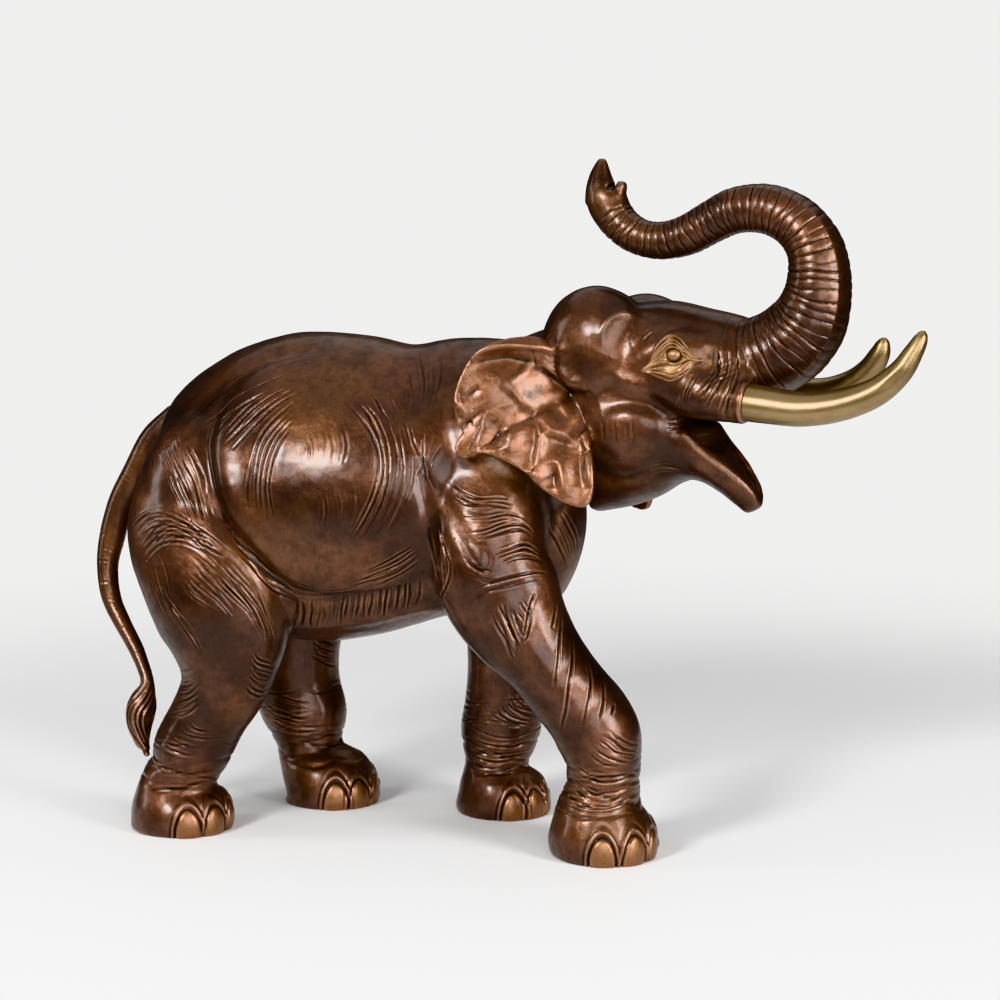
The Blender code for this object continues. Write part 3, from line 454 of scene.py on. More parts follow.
# %% Rows along a curve
def smooth_rows(rows, steps):
    """Rows read along a Catmull-Rom curve through the given ones, with `steps` to each gap."""
    rows = np.array(rows, float)
    padded = np.vstack([2 * rows[0] - rows[1], rows, 2 * rows[-1] - rows[-2]])
    read = []
    for i in range(len(rows) - 1):
        a, b, c, d = padded[i : i + 4]
        for t in np.arange(steps) / steps:
            square = 2 * a - 5 * b + 4 * c - d
            cube = 3 * b - a - 3 * c + d
            read.append(b + 0.5 * ((c - a) * t + square * t**2 + cube * t**3))
    read.append(rows[-1])
    return np.array(read)


def mirrored(rows):
    return [(x, -y, z, *sizes) for x, y, z, *sizes in rows]


def left_ear_point(point):
    forward, left, up = point
    swept = LEFT_EAR_SPREAD * forward - LEFT_EAR_SWEEP
    return (swept, -left, EAR_TOP - LEFT_EAR_DROP * (EAR_TOP - up))


print("ten rows along the tail:", len(smooth_rows(TAIL, 10)))

# %% Objects from meshes
def new_object(name, mesh, turned=None):
    made = bpy.data.objects.new(name, mesh)
    bpy.context.scene.collection.objects.link(made)
    if turned is not None:
        made.matrix_world = turned
    return made


def from_bmesh(name, made, turned=None):
    """An object of a finished bmesh, which is freed."""
    mesh = bpy.data.meshes.new(name)
    made.to_mesh(mesh)
    made.free()
    return new_object(name, mesh, turned)


def apply_modifiers(made):
    graph = bpy.context.evaluated_depsgraph_get()
    mesh = bpy.data.meshes.new_from_object(made.evaluated_get(graph))
    made.modifiers.clear()
    old = made.data
    made.data = mesh
    bpy.data.meshes.remove(old)
    return made


print("three helpers for objects")

# %% Lofts
LOFT_STEPS, LOFT_SIDES = 6, 48


def spine_of(centres):
    """Unit tangents along a line of centres, and the directions across it and deep to it."""
    tangents = np.gradient(centres, axis=0)
    tangents /= np.linalg.norm(tangents, axis=1, keepdims=True)
    across = np.array([0.0, 1.0, 0.0]) - tangents * tangents[:, 1:2]
    across /= np.linalg.norm(across, axis=1, keepdims=True)
    return tangents, across, np.cross(tangents, across)


def loft(name, stations, turned=None, steps=LOFT_STEPS, sides=LOFT_SIDES, ridge=0.0):
    """A closed tube through its stations. `ridge` draws the upper half in to leave a ridge along the top."""
    rows = smooth_rows(stations, steps)
    _, across, deep = spine_of(rows[:, :3])
    turn = np.linspace(0, 2 * math.pi, sides, endpoint=False)
    made = bmesh.new()
    rings = []
    for row, one_side, normal in zip(rows, across, deep):
        ring = []
        for angle in turn:
            share = math.cos(angle) * (1 - ridge * max(0.0, math.sin(angle)) ** 2)
            spot = row[:3] + one_side * row[3] * share + normal * row[4] * math.sin(angle)
            ring.append(made.verts.new(spot))
        rings.append(ring)
    for one, other in zip(rings, rings[1:]):
        for i in range(sides):
            made.faces.new((one[i - 1], one[i], other[i], other[i - 1]))
    made.faces.new(rings[0])
    made.faces.new(rings[-1])
    bmesh.ops.recalc_face_normals(made, faces=made.faces)
    return from_bmesh(name, made, turned)


print("a loft has", LOFT_SIDES, "sides")

# %% Ellipsoids
ROUND, UPWARDS = 32, 20


def mass(name, centre, radii, pitch, turned=None):
    """An ellipsoid given in millimetres, tipped nose-up by `pitch` degrees."""
    tip = Matrix.Rotation(math.radians(-pitch), 4, "Y")
    spot = Matrix.Translation(metres(centre)) @ tip @ Matrix.Diagonal((*metres(radii), 1.0))
    made = bmesh.new()
    bmesh.ops.create_uvsphere(made, u_segments=ROUND, v_segments=UPWARDS, radius=1.0, matrix=spot)
    return from_bmesh(name, made, turned)


print("an ellipsoid has", ROUND * UPWARDS, "faces")

# %% Ears
def ear_sheet(rim, root, which, rows=12):
    """Points of the ear's leaf, root to rim, in the head's frame."""
    rim = smooth_rows(rim, 4)
    along = np.linspace(0, 1, len(rim))[:, None]
    root = np.array(root[0]) * (1 - along) + np.array(root[1]) * along
    sheet = []
    for share in np.linspace(0, 1, rows):
        points = root * (1 - share) + rim * share
        points[:, 1] += which * EAR_BELLY * math.sin(math.pi * share)
        sheet.append(points)
    return np.array(sheet)


def ear(name, sheet):
    """The leaf as a mesh, thickened."""
    made = bmesh.new()
    grid = [[made.verts.new(point) for point in row] for row in sheet]
    for one, other in zip(grid, grid[1:]):
        for i in range(len(one) - 1):
            made.faces.new((one[i], one[i + 1], other[i + 1], other[i]))
    leaf = from_bmesh(name, made, HEAD_FRAME)
    shell = leaf.modifiers.new("thickness", "SOLIDIFY")
    shell.thickness = EAR_THICKNESS
    shell.offset = 0.0
    return apply_modifiers(leaf)


EAR_SHEETS = [
    ear_sheet(EAR_RIM, EAR_ROOT, RIGHT),
    ear_sheet([left_ear_point(point) for point in EAR_RIM], mirrored(EAR_ROOT), LEFT),
]
print("an ear is", EAR_SHEETS[0].shape[:2], "points")

# %% [markdown]
# ## One skin
# A caster's wax is one body, so the overlapping pieces have to become one. A voxel remesh does this: it fills
# everything with small cells and wraps a new skin round them. It is done twice. The first round takes the
# heavy masses and is smoothed a good deal, which gives the soft valleys between muscles. The second adds the
# trunk, tail and ears, is much finer and is smoothed only a little, so that those keep their edges.

# %% One skin round the pieces
CORE_VOXEL, CORE_SMOOTHING = ((0.0025, 30))
SKIN_VOXEL, SKIN_SMOOTHING = ((0.00108, 20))


def fuse(name, pieces, voxel, smoothing):
    """One skin around all the pieces: their meshes joined, remeshed in cells and softened."""
    made = bmesh.new()
    for piece in pieces:
        mesh = piece.data
        mesh.transform(piece.matrix_world)
        made.from_mesh(mesh)
        bpy.data.objects.remove(piece)
        bpy.data.meshes.remove(mesh)
    fused = from_bmesh(name, made)
    remesh = fused.modifiers.new("one skin", "REMESH")
    remesh.mode = "VOXEL"
    remesh.voxel_size = voxel
    soften = fused.modifiers.new("soften", "SMOOTH")
    soften.factor = 0.5
    soften.iterations = smoothing
    return apply_modifiers(fused)


print("cells of", CORE_VOXEL * 1000, "and", SKIN_VOXEL * 1000, "mm")

# %% [markdown]
# The lids are the finest lines of all, so the skin round the eyes gets twice as many points each way. A
# remesh can also leave closed pockets between masses. Nobody would see them, but they would be handed on, so
# any that are found by walking from point to point are dropped.

# %% Finer round the eyes
def vectors(rows, what):
    """One vector of every vertex or face of a mesh, as an array."""
    values = np.empty(len(rows) * 3)
    rows.foreach_get(what, values)
    return values.reshape(-1, 3)


EYE_BOX = metres(((136, 40, 463), (204, 80, 520)))
TO_HEAD = np.array(HEAD_FRAME.inverted())


def in_head(points):
    return points @ TO_HEAD[:3, :3].T + TO_HEAD[:3, 3]


def round_the_eyes(mesh):
    """Indices of the faces in the boxes round both eyes."""
    middles = in_head(vectors(mesh.polygons, "center"))
    middles[:, 1] = np.abs(middles[:, 1])
    return ((middles > EYE_BOX[0]) & (middles < EYE_BOX[1])).all(1).nonzero()[0]


def refine_eyes(made, mesh):
    made.faces.ensure_lookup_table()
    edges = dict.fromkeys(edge for i in round_the_eyes(mesh) for edge in made.faces[i].edges)
    bmesh.ops.subdivide_edges(made, edges=list(edges), cuts=1, use_grid_fill=True)


print("the box round an eye runs from", EYE_BOX[0], "to", EYE_BOX[1])

# %% Pockets
def drop_pockets(made):
    """Keep only the largest closed shell."""
    seen = set()
    shells = []
    for start in made.verts:
        if start in seen:
            continue
        seen.add(start)
        shell = [start]
        for vert in shell:
            for edge in vert.link_edges:
                other = edge.other_vert(vert)
                if other not in seen:
                    seen.add(other)
                    shell.append(other)
        shells.append(shell)
    shells.sort(key=len)
    bmesh.ops.delete(made, geom=[vert for shell in shells[:-1] for vert in shell], context="VERTS")
    return len(shells) - 1


print("pockets are found by their size")

# %% Heavy masses
pieces = [loft("torso", TORSO, ridge=SPINE_RIDGE), loft("neck", NECK)]
pieces += [loft(name, leg) for name, leg in LEGS.items()]
pieces += [mass("mass", *sizes) for sizes in BODY_MASSES]
pieces += [mass("mass", *sizes, HEAD_FRAME) for sizes in HEAD_MASSES]
pieces += [loft("face", FACE, HEAD_FRAME), loft("jaw", JAW, HEAD_FRAME)]
for right_half in (SOCKET, LIP):
    pieces += [loft("half", half, HEAD_FRAME) for half in (right_half, mirrored(right_half))]
core = fuse("core", pieces, CORE_VOXEL, CORE_SMOOTHING)
print("core", len(core.data.vertices), "points")

# %% Trunk, tail and ears
pieces = [loft("trunk", stations, HEAD_FRAME) for stations in (TRUNK, UPPER_FINGER, LOWER_FINGER)]
pieces.append(loft("tail", TAIL))
pieces += [ear("ear", sheet) for sheet in EAR_SHEETS]
wax = fuse("wax", [core, *pieces], SKIN_VOXEL, SKIN_SMOOTHING)
made = bmesh.new()
made.from_mesh(wax.data)
refine_eyes(made, wax.data)
print(drop_pockets(made), "pockets dropped")
made.to_mesh(wax.data)
made.free()
print("skin", len(wax.data.vertices), "points")

# %% [markdown]
# ## Carving
# Modelling tools press into the wax or raise it. `Skin` keeps, for every point, how far it is to travel along
# its normal. Broad folds come first. Then the skin settles, its normals are worked out again, and the fine
# strokes go in on top of the folds. The solids have most of the folds too, but none of the strokes.

# %% Paths and bells
def bell(distance, width):
    return np.exp(-((distance / width) ** 2))


def faded(share):
    """Full strength along most of a path, and less towards both ends."""
    return np.sqrt(np.sin(math.pi * np.clip(share, 0.02, 0.98)))


def blended(first, last, share):
    return np.array(first) * (1 - share) + np.array(last) * share


def path_gap(points, normals, path):
    """Distance of each point to a path, which side it is on, and how many metres along the path it is.

    The side runs from -1 on the right to 1 on the left, and passes smoothly through 0."""
    nearest = np.full(len(points), np.inf)
    side = np.zeros(len(points))
    place = np.zeros(len(points))
    run = 0.0
    for start, end in zip(path, path[1:]):
        step = end - start
        length = max(np.linalg.norm(step), 1e-9)
        part = np.clip((points - start) @ step / length**2, 0, 1)
        offset = points - start - part[:, None] * step
        gap = np.linalg.norm(offset, axis=1)
        closer = gap < nearest
        nearest[closer] = gap[closer]
        left = (np.cross(normals[closer], step) * offset[closer]).sum(1)
        side[closer] = left / (length * np.maximum(gap[closer], 1e-9))
        place[closer] = run + part[closer] * length
        run += length
    return nearest, side, place


def placed(path, turned):
    """A path given in the head's frame, in the body's frame."""
    if turned is None:
        return path
    return path @ np.array(turned.to_3x3()).T + np.array(turned.translation)


print("a bell falls to", round(float(bell(1.0, 1.0)), 2), "at its width")

# %% Skin
class Skin:
    """The wax's points and normals, and how far the tools have moved each point along its normal."""

    def __init__(self, wax):
        self.mesh = wax.data
        self.edges = np.empty(len(self.mesh.edges) * 2, np.int32)
        self.mesh.edges.foreach_get("vertices", self.edges)
        self.edges = self.edges.reshape(-1, 2)
        self.refresh()

    def refresh(self):
        self.points = vectors(self.mesh.vertices, "co")
        self.normals = vectors(self.mesh.vertices, "normal")
        self.travel = np.zeros(len(self.points))
        self.push = np.zeros(self.points.shape)
        self.gap = np.full(len(self.points), np.inf)
        self.side = np.zeros(len(self.points))
        self.place = np.zeros(len(self.points))
        self.by_x = np.argsort(self.points[:, 0], kind="stable")
        self.sorted_x = self.points[self.by_x, 0]

    def near(self, path, reach):
        """The points inside the box round a path."""
        low, high = path.min(0) - reach, path.max(0) + reach
        first, last = np.searchsorted(self.sorted_x, (low[0], high[0]))
        index = self.by_x[first:last]
        others = self.points[index, 1:]
        return index[((others > low[1:]) & (others < high[1:])).all(1)]

    def along(self, path, reach):
        """The points within reach of a path, their distances to it, their sides and shares of its length.

        The path is taken three steps at a time, because a box round so short a piece holds few points."""
        touched = []
        run = 0.0
        for first in range(0, len(path) - 1, 3):
            part = path[first : first + 4]
            index = self.near(part, reach)
            gap, side, place = path_gap(self.points[index], self.normals[index], part)
            closer = gap < self.gap[index]
            index = index[closer]
            self.gap[index] = gap[closer]
            self.side[index] = side[closer]
            self.place[index] = place[closer] + run
            run += np.linalg.norm(np.diff(part, axis=0), axis=1).sum()
            touched.append(index)
        index = np.unique(np.concatenate(touched))
        gap, side, share = self.gap[index], self.side[index], self.place[index] / run
        self.gap[index] = np.inf
        return index, gap, side, share

    def settle(self):
        """Move the skin, with every sole cut flat at the ground."""
        moved = self.points + self.normals * self.travel[:, None] + self.push
        moved[:, 2] = np.maximum(moved[:, 2], 0.0)
        self.mesh.vertices.foreach_set("co", moved.ravel())
        self.mesh.update()
        self.refresh()


skin = Skin(wax)
print("the skin reaches", [round(value, 3) for value in skin.points.max(0)])

# %% [markdown]
# Two tools work on the skin. One presses a fold into it along a path, or raises one, as a thumb and a loop
# tool do. The other evens out a place where two masses meet too sharply, as a damp brush does.

# %% Folding
# Beyond this many widths of its bell there is next to nothing left of a fold
FOLD_REACH = 2.6


def fold(path, width, height, turned=None, right=None, leaf=None):
    """Raise or sink the skin along a path.

    `right` is the width on the right of the path, if it isn't the same. `leaf` is the way an ear faces.
    Both of its faces then move that way together, so that it keeps its thickness."""
    path = placed(smooth_rows(path, 4), turned)
    right = right or width
    index, gap, side, share = skin.along(path, FOLD_REACH * max(width, right))
    height = height * faded(share) * bell(gap, blended(right, width, (side + 1) / 2))
    if leaf is None:
        skin.travel[index] += height
    else:
        skin.push[index] += height[:, None] * leaf


print("a fold reaches", FOLD_REACH, "of its widths")

# %% Evening out
# How far a pass moves a point towards the middle of its neighbours, and how soon it does so from the rim
PULL, PULL_RISE = 0.7, 1.5


def even_out(middle, reach, passes):
    """Even out the skin round a place, and leave it as it is beyond reach."""
    index = skin.near(middle[None], reach)
    distance = np.linalg.norm(skin.points[index] - middle, axis=1)
    index, distance = index[distance < reach], distance[distance < reach]
    local = np.full(len(skin.points), -1)
    local[index] = np.arange(len(index))
    one, two = local[skin.edges].T
    inside = (one >= 0) & (two >= 0)
    one, two = one[inside], two[inside]
    count = np.maximum(np.bincount(np.concatenate([one, two]), minlength=len(index)), 1)[:, None]
    share = PULL * np.clip(PULL_RISE * (1 - distance / reach), 0, 1)[:, None]
    spots = skin.points[index]
    for _ in range(passes):
        total = [
            np.bincount(one, spots[two, k], len(index)) + np.bincount(two, spots[one, k], len(index))
            for k in range(3)
        ]
        spots = spots + share * (np.array(total).T / count - spots)
    skin.push[index] += spots - skin.points[index]


print("each pass moves a point up to", PULL, "of the way to the middle of its neighbours")

# %% [markdown]
# Broad folds: the deep creases before the haunch and behind the shoulder, the hem of the belly, the withers,
# the hollow temple, the brow, the cheek, the mouth and the ears. Both sides get them.

# %% Folds of the body
# Folds: a path on the skin, the half-width of the fold and its height, which is negative for a groove.
# Folds of the body are given on the right side, and the left side repeats them.
BODY_FOLDS = metres([
    ([(-258, -65, 454), (-273, -92, 410), (-271, -106, 382), (-250, -117, 325), (-210, -113, 276),
      (-184, -84, 230)], 8, -5.5),
    ([(-240, -80, 448), (-254, -96, 410), (-248, -112, 370), (-232, -117, 332), (-200, -116, 290)], 12, 2.5),
    ([(-227, -114, 294), (-199, -104, 265), (-162, -97, 250), (-119, -95, 250), (-74, -89, 258),
      (-50, -92, 272)], 8, -5),
    ([(-198, -83, 218), (-186, -72, 213), (-144, -70, 218), (-97, -66, 227), (-45, -60, 234)], 9, 2.4),
    ([(-315, -80, 405), (-290, -68, 434), (-262, -58, 456), (-226, -48, 476), (-172, -42, 486)], 12, -3.5),
    ([(-54, -104, 395), (-49, -111, 360), (-41, -109, 321), (-38, -108, 283), (-47, -80, 242)], 8, -4.2),
    ([(-50, -109, 379), (-29, -110, 351), (-4, -120, 318), (8, -124, 290)], 8, -1.5),
    ([(-331, -108, 321), (-302, -114, 328), (-269, -120, 315), (-237, -120, 287), (-213, -110, 247)], 13, 3),
    ([(-67, -20, 490), (-70, -52, 470), (-71, -80, 444), (-68, -98, 416)], 11, -2.5),
    ([(58, -76, 349), (62, -62, 318), (62, -58, 290)], 7, -3),
    ([(-18, -117, 326), (-5, -123, 308), (11, -127, 288), (19, -127, 295), (14, -124, 307), (2, -122, 312)],
     4, -1.1),
])
print(len(BODY_FOLDS), "folds on either side of the body")

# %% Folds of the head
# Places on the right side of the head where the wax was worked smooth between two masses: middle and reach
SMOOTHED = metres([
    ((126, -53, 516), 18), ((131, -56, 505), 14), ((210, -48, 494), 18), ((229, -44, 489), 16),
    ((172, -38, 406), 14), ((166, -46, 427), 15), ((119, -18, 349), 20), ((96, -38, 360), 22),
])
SMOOTH_PASSES = 150
# Folds of the right side of the head: temple, brow, cheek, sleeve of the tusk and lip
HEAD_FOLDS = metres([
    ([(108, -68, 492), (113, -64, 506), (121, -57, 515), (129, -53, 516)], 13, -3),
    ([(102, -69, 500), (103, -66, 516), (108, -62, 527), (118, -54, 532), (128, -47, 529), (134, -46, 522)],
     4.5, 2.2),
    ([(160, -47, 520), (152, -55, 509), (144, -60, 498), (133, -62, 486), (121, -63, 473)], 8, 1.8),
    ([(142, -61, 482), (151, -60, 496), (160, -58, 508), (173, -55, 513), (186, -58, 504), (192, -58, 493)],
     6, 2.2),
    ([(144, -61, 478), (157, -62, 473), (171, -63, 470), (182, -62, 477), (190, -58, 490)], 6, 1.8),
    ([(101, -68, 470), (113, -67, 472), (126, -63, 468), (140, -62, 464)], 8, 2.8),
    ([(99, -66, 440), (118, -64, 447), (140, -60, 448), (160, -56, 442), (174, -45, 434)], 9, -4.2),
    ([(199, -52, 503), (211, -50, 492), (213, -56, 478), (204, -64, 464)], 5, -2.2),
    ([(226, -50, 434), (229, -64, 444), (232, -67, 456), (236, -60, 468), (244, -40, 476)], 3.5, -2),
    ([(240, -47, 432.5), (241, -61.5, 438.5), (243, -67.5, 453), (245, -61.5, 467.5), (247, -47, 473.5)],
     3, 2.2),
    ([(168, -41, 429), (186, -34, 411), (203, -26.5, 397), (218, -18, 383), (230, -9, 367), (236, -1, 351)],
     2, 1.4),
    ([(172, -35, 426), (188, -28, 410), (205, -21, 396), (219, -13.5, 381), (229, -5, 367)], 2.2, -1.6),
])
# The spoon of the lower jaw, and the cup between the two fingers of the trunk
MIDDLE_FOLDS = metres([
    ([(164, 0, 412), (189, 0, 397), (209, 0, 379), (223, 0, 359)], 12, -5),
    ([(77.5, 0, 650), (80.5, 0, 648)], 6.5, -8),
])
print(len(HEAD_FOLDS) + len(MIDDLE_FOLDS), "folds on the head")

# %% [markdown]
# The ear is the most lively piece of the sculpture. Its top is rolled over, and long folds run down from the
# roll to the ragged rim. Many of them are steep on one side and soft on the other, like cloth.

# %% Folds of the ear
# Folds of the right ear, from the rolled top down to the lower lobe: path, width, height, width on the right
EAR_FOLDS = metres([
    ([(-16, -113, 484), (-7, -108, 494), (3, -104, 498), (15, -99, 501), (28, -93, 501), (42, -84, 499),
      (55, -72, 496), (59, -70, 488)], 7.8, 5.8, 3.6),
    ([(-14, -111, 482), (-3, -106, 484), (6, -102, 486), (14, -98, 487), (24, -91, 485), (33, -83, 484),
      (41, -79, 485), (47, -77, 491)], 4.6, -5.8, 8.5),
    ([(37, -84, 481), (46, -77, 481), (53, -73, 476), (60, -70, 470), (68, -68, 463), (76, -67, 460.5),
      (88, -66, 459)], 7.8, 6, 3.2),
    ([(41, -81, 474), (48, -73, 468), (55, -66, 460), (64, -64, 454.5), (76, -66, 453.5), (86, -67, 454.5)],
     4.4, -4.2, 7),
    ([(12, -100, 466), (25, -98, 459), (34, -95, 449), (49, -91, 437), (63, -89, 427), (76, -82, 416),
      (88, -78, 409)], 7.2, 4.8, 5),
    ([(33, -86, 466), (42, -79, 455), (50, -73, 446), (61, -74, 436), (72, -74, 427)], 10.4, -2.4),
    ([(50, -72, 460), (57, -71, 451), (63, -72, 443), (70, -72, 436), (81, -70, 422)], 4, 2.3),
    ([(52, -97, 409), (59, -91, 406), (67, -85, 405), (77, -84, 402)], 8.4, -4.2),
    ([(47, -96, 416), (55, -91, 418), (64, -87, 416), (73, -84, 411)], 6.5, 1.9, 2.8),
    ([(43, -91, 440), (40, -93, 425), (39, -97, 411), (40, -102, 397), (43, -107, 380)], 7.2, -5),
    ([(41, -91, 440), (47, -93, 425), (51, -96, 411), (53, -103, 396), (52, -106, 382)], 3.4, 2.1),
    ([(18, -103, 444), (24, -105, 426), (30, -108, 412), (33, -108, 398)], 9.7, 3.6),
    ([(-7, -118, 414), (2, -118, 411), (8, -116, 407)], 13, 3.8),
    ([(12, -112, 430), (13, -112, 415), (16, -112, 402)], 7.2, -2.1),
    ([(62, -99, 391), (65, -100, 379), (66, -101, 365)], 5.9, -2.7),
    ([(71, -91, 400), (76, -95, 384), (80, -97, 370), (81, -97, 357)], 6.5, 3.4),
    ([(84, -83, 402), (88, -87, 384), (90, -90, 367)], 6.5, -2.4),
    ([(93, -81, 400), (98, -86, 384), (101, -88, 368)], 6.5, 2.4),
    ([(49, -107, 384), (54, -106, 380), (58, -104, 373)], 7.8, 2.4),
    ([(-24, -120, 453), (-18, -119, 451), (-12, -117, 455), (-5, -112, 461)], 2.1, -1.6, 3.7),
    ([(-26, -122, 444), (-20, -121, 447)], 5.9, 2.1),
    ([(-24, -123, 434), (-17, -121, 429), (-9, -117, 433), (-1, -113, 441)], 2.3, -1.9, 3.7),
    ([(-24, -122, 421), (-16, -120, 425), (-10, -118, 428)], 2.5, -1.9, 5),
    ([(0, -112, 470), (8, -109, 458), (14, -106, 444)], 10.4, 1.3),
    ([(24, -92, 478), (30, -90, 470)], 11.7, 1.1),
])
EAR_RELIEF, EAR_SPREAD = 1.3, 1.35
print(len(EAR_FOLDS), "folds on an ear")

# %% Press the broad folds
for middle, reach in SMOOTHED:
    for flip in (1, -1):
        even_out(placed(np.array(middle) * (1, flip, 1), HEAD_FRAME), reach, SMOOTH_PASSES)
skin.settle()
for folds, turned in ((BODY_FOLDS, None), (HEAD_FOLDS, HEAD_FRAME)):
    for path, width, height in folds:
        fold(path, width, height, turned)
        fold(mirrored(path), width, height, turned)
for path, width, height in MIDDLE_FOLDS:
    fold(path, width, height, HEAD_FRAME)
faces_right = np.array(HEAD_FRAME.to_3x3() @ Vector((0, RIGHT, 0)))
faces_left = np.array(HEAD_FRAME.to_3x3() @ Vector((0, LEFT, 0)))
for path, width, height, *rest in EAR_FOLDS:
    right = EAR_SPREAD * (rest[0] if rest else width)
    width *= EAR_SPREAD
    height *= EAR_RELIEF
    fold(path, width, height, HEAD_FRAME, right, faces_right)
    fold([left_ear_point(point) for point in path], right, height, HEAD_FRAME, width, faces_left)
skin.settle()
print("folds pressed")

# %% [markdown]
# ## Rings of the trunk
# A trunk folds like a sleeve, so about fifty grooves run round it. Along its underside there is a band with
# raised edges, where the grooves are shallower. Each point near the trunk is given two numbers, its share of
# the trunk's length and its angle round it, and the grooves are plain functions of the two.

# %% Places on the trunk
RINGS, RINGED_FROM, RINGED_TO = 54, 0.06, 0.958
RING_DEPTH, RING_SHARPNESS, RING_SWELL = 0.0009, 0.085, 0.00010
BAND_HALF_ANGLE, BAND_DEPTH, BAND_RIDGE = math.radians(28), 0.0012, 0.0009
# No point further back or lower than this, in the head's frame, is on the trunk
TRUNK_BACK, TRUNK_LOW = 0.04, 0.42


def trunk_places(points):
    """The points on the trunk, their shares of its length, and their angles from its underside."""
    line = smooth_rows(TRUNK, 10)
    tangents, _, deep = spine_of(line[:, :3])
    run = np.concatenate([[0], np.cumsum(np.linalg.norm(np.diff(line[:, :3], axis=0), axis=1))])
    index = (points[:, 2] > TRUNK_LOW).nonzero()[0]
    spots = in_head(points[index])
    ahead = spots[:, 0] > TRUNK_BACK
    index, spots = index[ahead], spots[ahead]
    nearest = np.full(len(index), np.inf)
    which = np.zeros(len(index), int)
    for i, row in enumerate(line):
        gap = np.linalg.norm(spots - row[:3], axis=1) / row[4]
        closer = gap < nearest
        nearest[closer] = gap[closer]
        which[closer] = i
    on_trunk = nearest < 1.25
    index, which, spots = index[on_trunk], which[on_trunk], spots[on_trunk]
    offset = spots - line[which, :3]
    share = (run[which] + (offset * tangents[which]).sum(1)) / run[-1]
    angle = np.arctan2(offset[:, 1], -(offset * deep[which]).sum(1))
    return index, share, angle


print(RINGS, "rings on", len(TRUNK), "stations")

# %% Rings
# The rings wander a little, and no two are equally deep
index, share, angle = trunk_places(skin.points)
phase = (share - RINGED_FROM) / (RINGED_TO - RINGED_FROM) * RINGS
ring = np.round(phase)
wander = 0.14 * np.sin(2 * angle + 1.7 * ring) + 0.06 * np.sin(5 * angle + 0.9 * ring)
depth_of_ring = 1 + 0.30 * np.sin(2.6 * ring) + 0.35 * np.sin(1.5 * angle + 2.1 * ring)
ringed = np.clip((share - RINGED_FROM) / 0.14, 0, 1) * np.clip((RINGED_TO - share) / 0.02, 0, 1)
on_side = np.clip((np.abs(angle) - BAND_HALF_ANGLE) / 0.12, 0, 1)
off_ring = phase + wander - np.round(phase + wander)
groove = RING_DEPTH * depth_of_ring * bell(off_ring, RING_SHARPNESS) * (0.45 + 0.55 * on_side)
swell = RING_SWELL * np.cos(2 * math.pi * off_ring) * (1.2 - 0.6 * on_side)
band = BAND_DEPTH * (1 - on_side) - BAND_RIDGE * bell(np.abs(angle) - BAND_HALF_ANGLE, 0.14)
skin.travel[index] -= (groove + swell + band) * ringed
trunk_band = np.zeros(len(skin.points))
trunk_band[index] = (1 - on_side) * ringed
print(len(index), "points on the trunk")

# %% [markdown]
# ## Feet
# The toenails are domes with an arched cuticle, and they are polished brighter than the skin. Deep wavy folds
# go round each ankle, where the skin of a walking animal bunches up.

# %% Sizes of the feet
# Feet: centre of the sole, half-length and the bearings of the toenails
FEET = [
    ((0.121, -0.070), 0.055, (-80, -42, -8, 26, 62)),
    ((-0.014, 0.070), 0.050, (-62, -30, 2, 36, 72)),
    ((-0.317, -0.070), 0.053, (-62, -27, 8, 43)),
    ((-0.202, 0.070), 0.052, (-66, -34, 0, 33)),
]
NAIL_HALF_WIDTH, NAIL_HEIGHT, NAIL_RISE = 0.0145, 0.029, 0.0030
CUTICLE_DEPTH, CUTICLE_RISE = 0.0012, 0.0014
# Folds round the ankles: centre of the leg and the heights of the folds
ANKLES = metres([
    ((121, -70), (50, 59, 67, 75, 84, 93)),
    ((-18, 70), (49, 57, 66, 75)),
    ((-316, -71), (49, 57, 66, 75)),
    ((-220, 71), (47, 55, 64, 73)),
])
ANKLE_REACH, ANKLE_FOLD_DEPTH, ANKLE_FOLD_WIDTH = 0.055, 0.0013, 0.0024
# How far round a sole its foot reaches, and how high the feet and the ankles are
FOOT_REACH, FOOT_TOP, ANKLE_TOP = 0.02, 0.05, 0.12
print(sum(len(bearings) for _, _, bearings in FEET), "toenails")

# %% Toenails and ankles
nails = np.zeros(len(skin.points))
for centre, radius, bearings in FEET:
    offset = skin.points[:, :2] - centre
    foot = (np.hypot(*offset.T) < radius + FOOT_REACH) & (skin.points[:, 2] < FOOT_TOP)
    foot = foot.nonzero()[0]
    around = np.arctan2(offset[foot, 1], offset[foot, 0])
    height = np.maximum(skin.points[foot, 2], 0)
    for bearing in np.radians(bearings):
        turn = (around - bearing + math.pi) % (2 * math.pi) - math.pi
        out = np.hypot(turn * radius / NAIL_HALF_WIDTH, height / NAIL_HEIGHT)
        # The nail ends where `out` is 1. A groove, a raised cuticle and a fainter groove lie outside it.
        dome = NAIL_RISE * np.sqrt(np.clip(1 - out**2, 0, 1))
        cuticle = CUTICLE_RISE * bell(out - 1.20, 0.10) - CUTICLE_DEPTH * bell(out - 1.03, 0.08)
        cuticle -= 0.5 * CUTICLE_DEPTH * bell(out - 1.42, 0.08)
        skin.travel[foot] += dome + cuticle
        nails[foot] = np.maximum(nails[foot], np.clip((1.0 - out) / 0.08, 0, 1))
for centre, heights in ANKLES:
    offset = skin.points[:, :2] - centre
    leg = (np.hypot(*offset.T) < ANKLE_REACH) & (skin.points[:, 2] < ANKLE_TOP)
    leg = leg.nonzero()[0]
    around = np.arctan2(offset[leg, 1], offset[leg, 0])
    for height in heights:
        wave = height + 0.003 * np.sin(3 * around + 200 * height) + 0.001 * np.sin(7 * around)
        deep = ANKLE_FOLD_DEPTH * (0.65 + 0.35 * np.sin(2 * around + 350 * height))
        skin.travel[leg] -= deep * bell(skin.points[leg, 2] - wave, ANKLE_FOLD_WIDTH)
skin.settle()
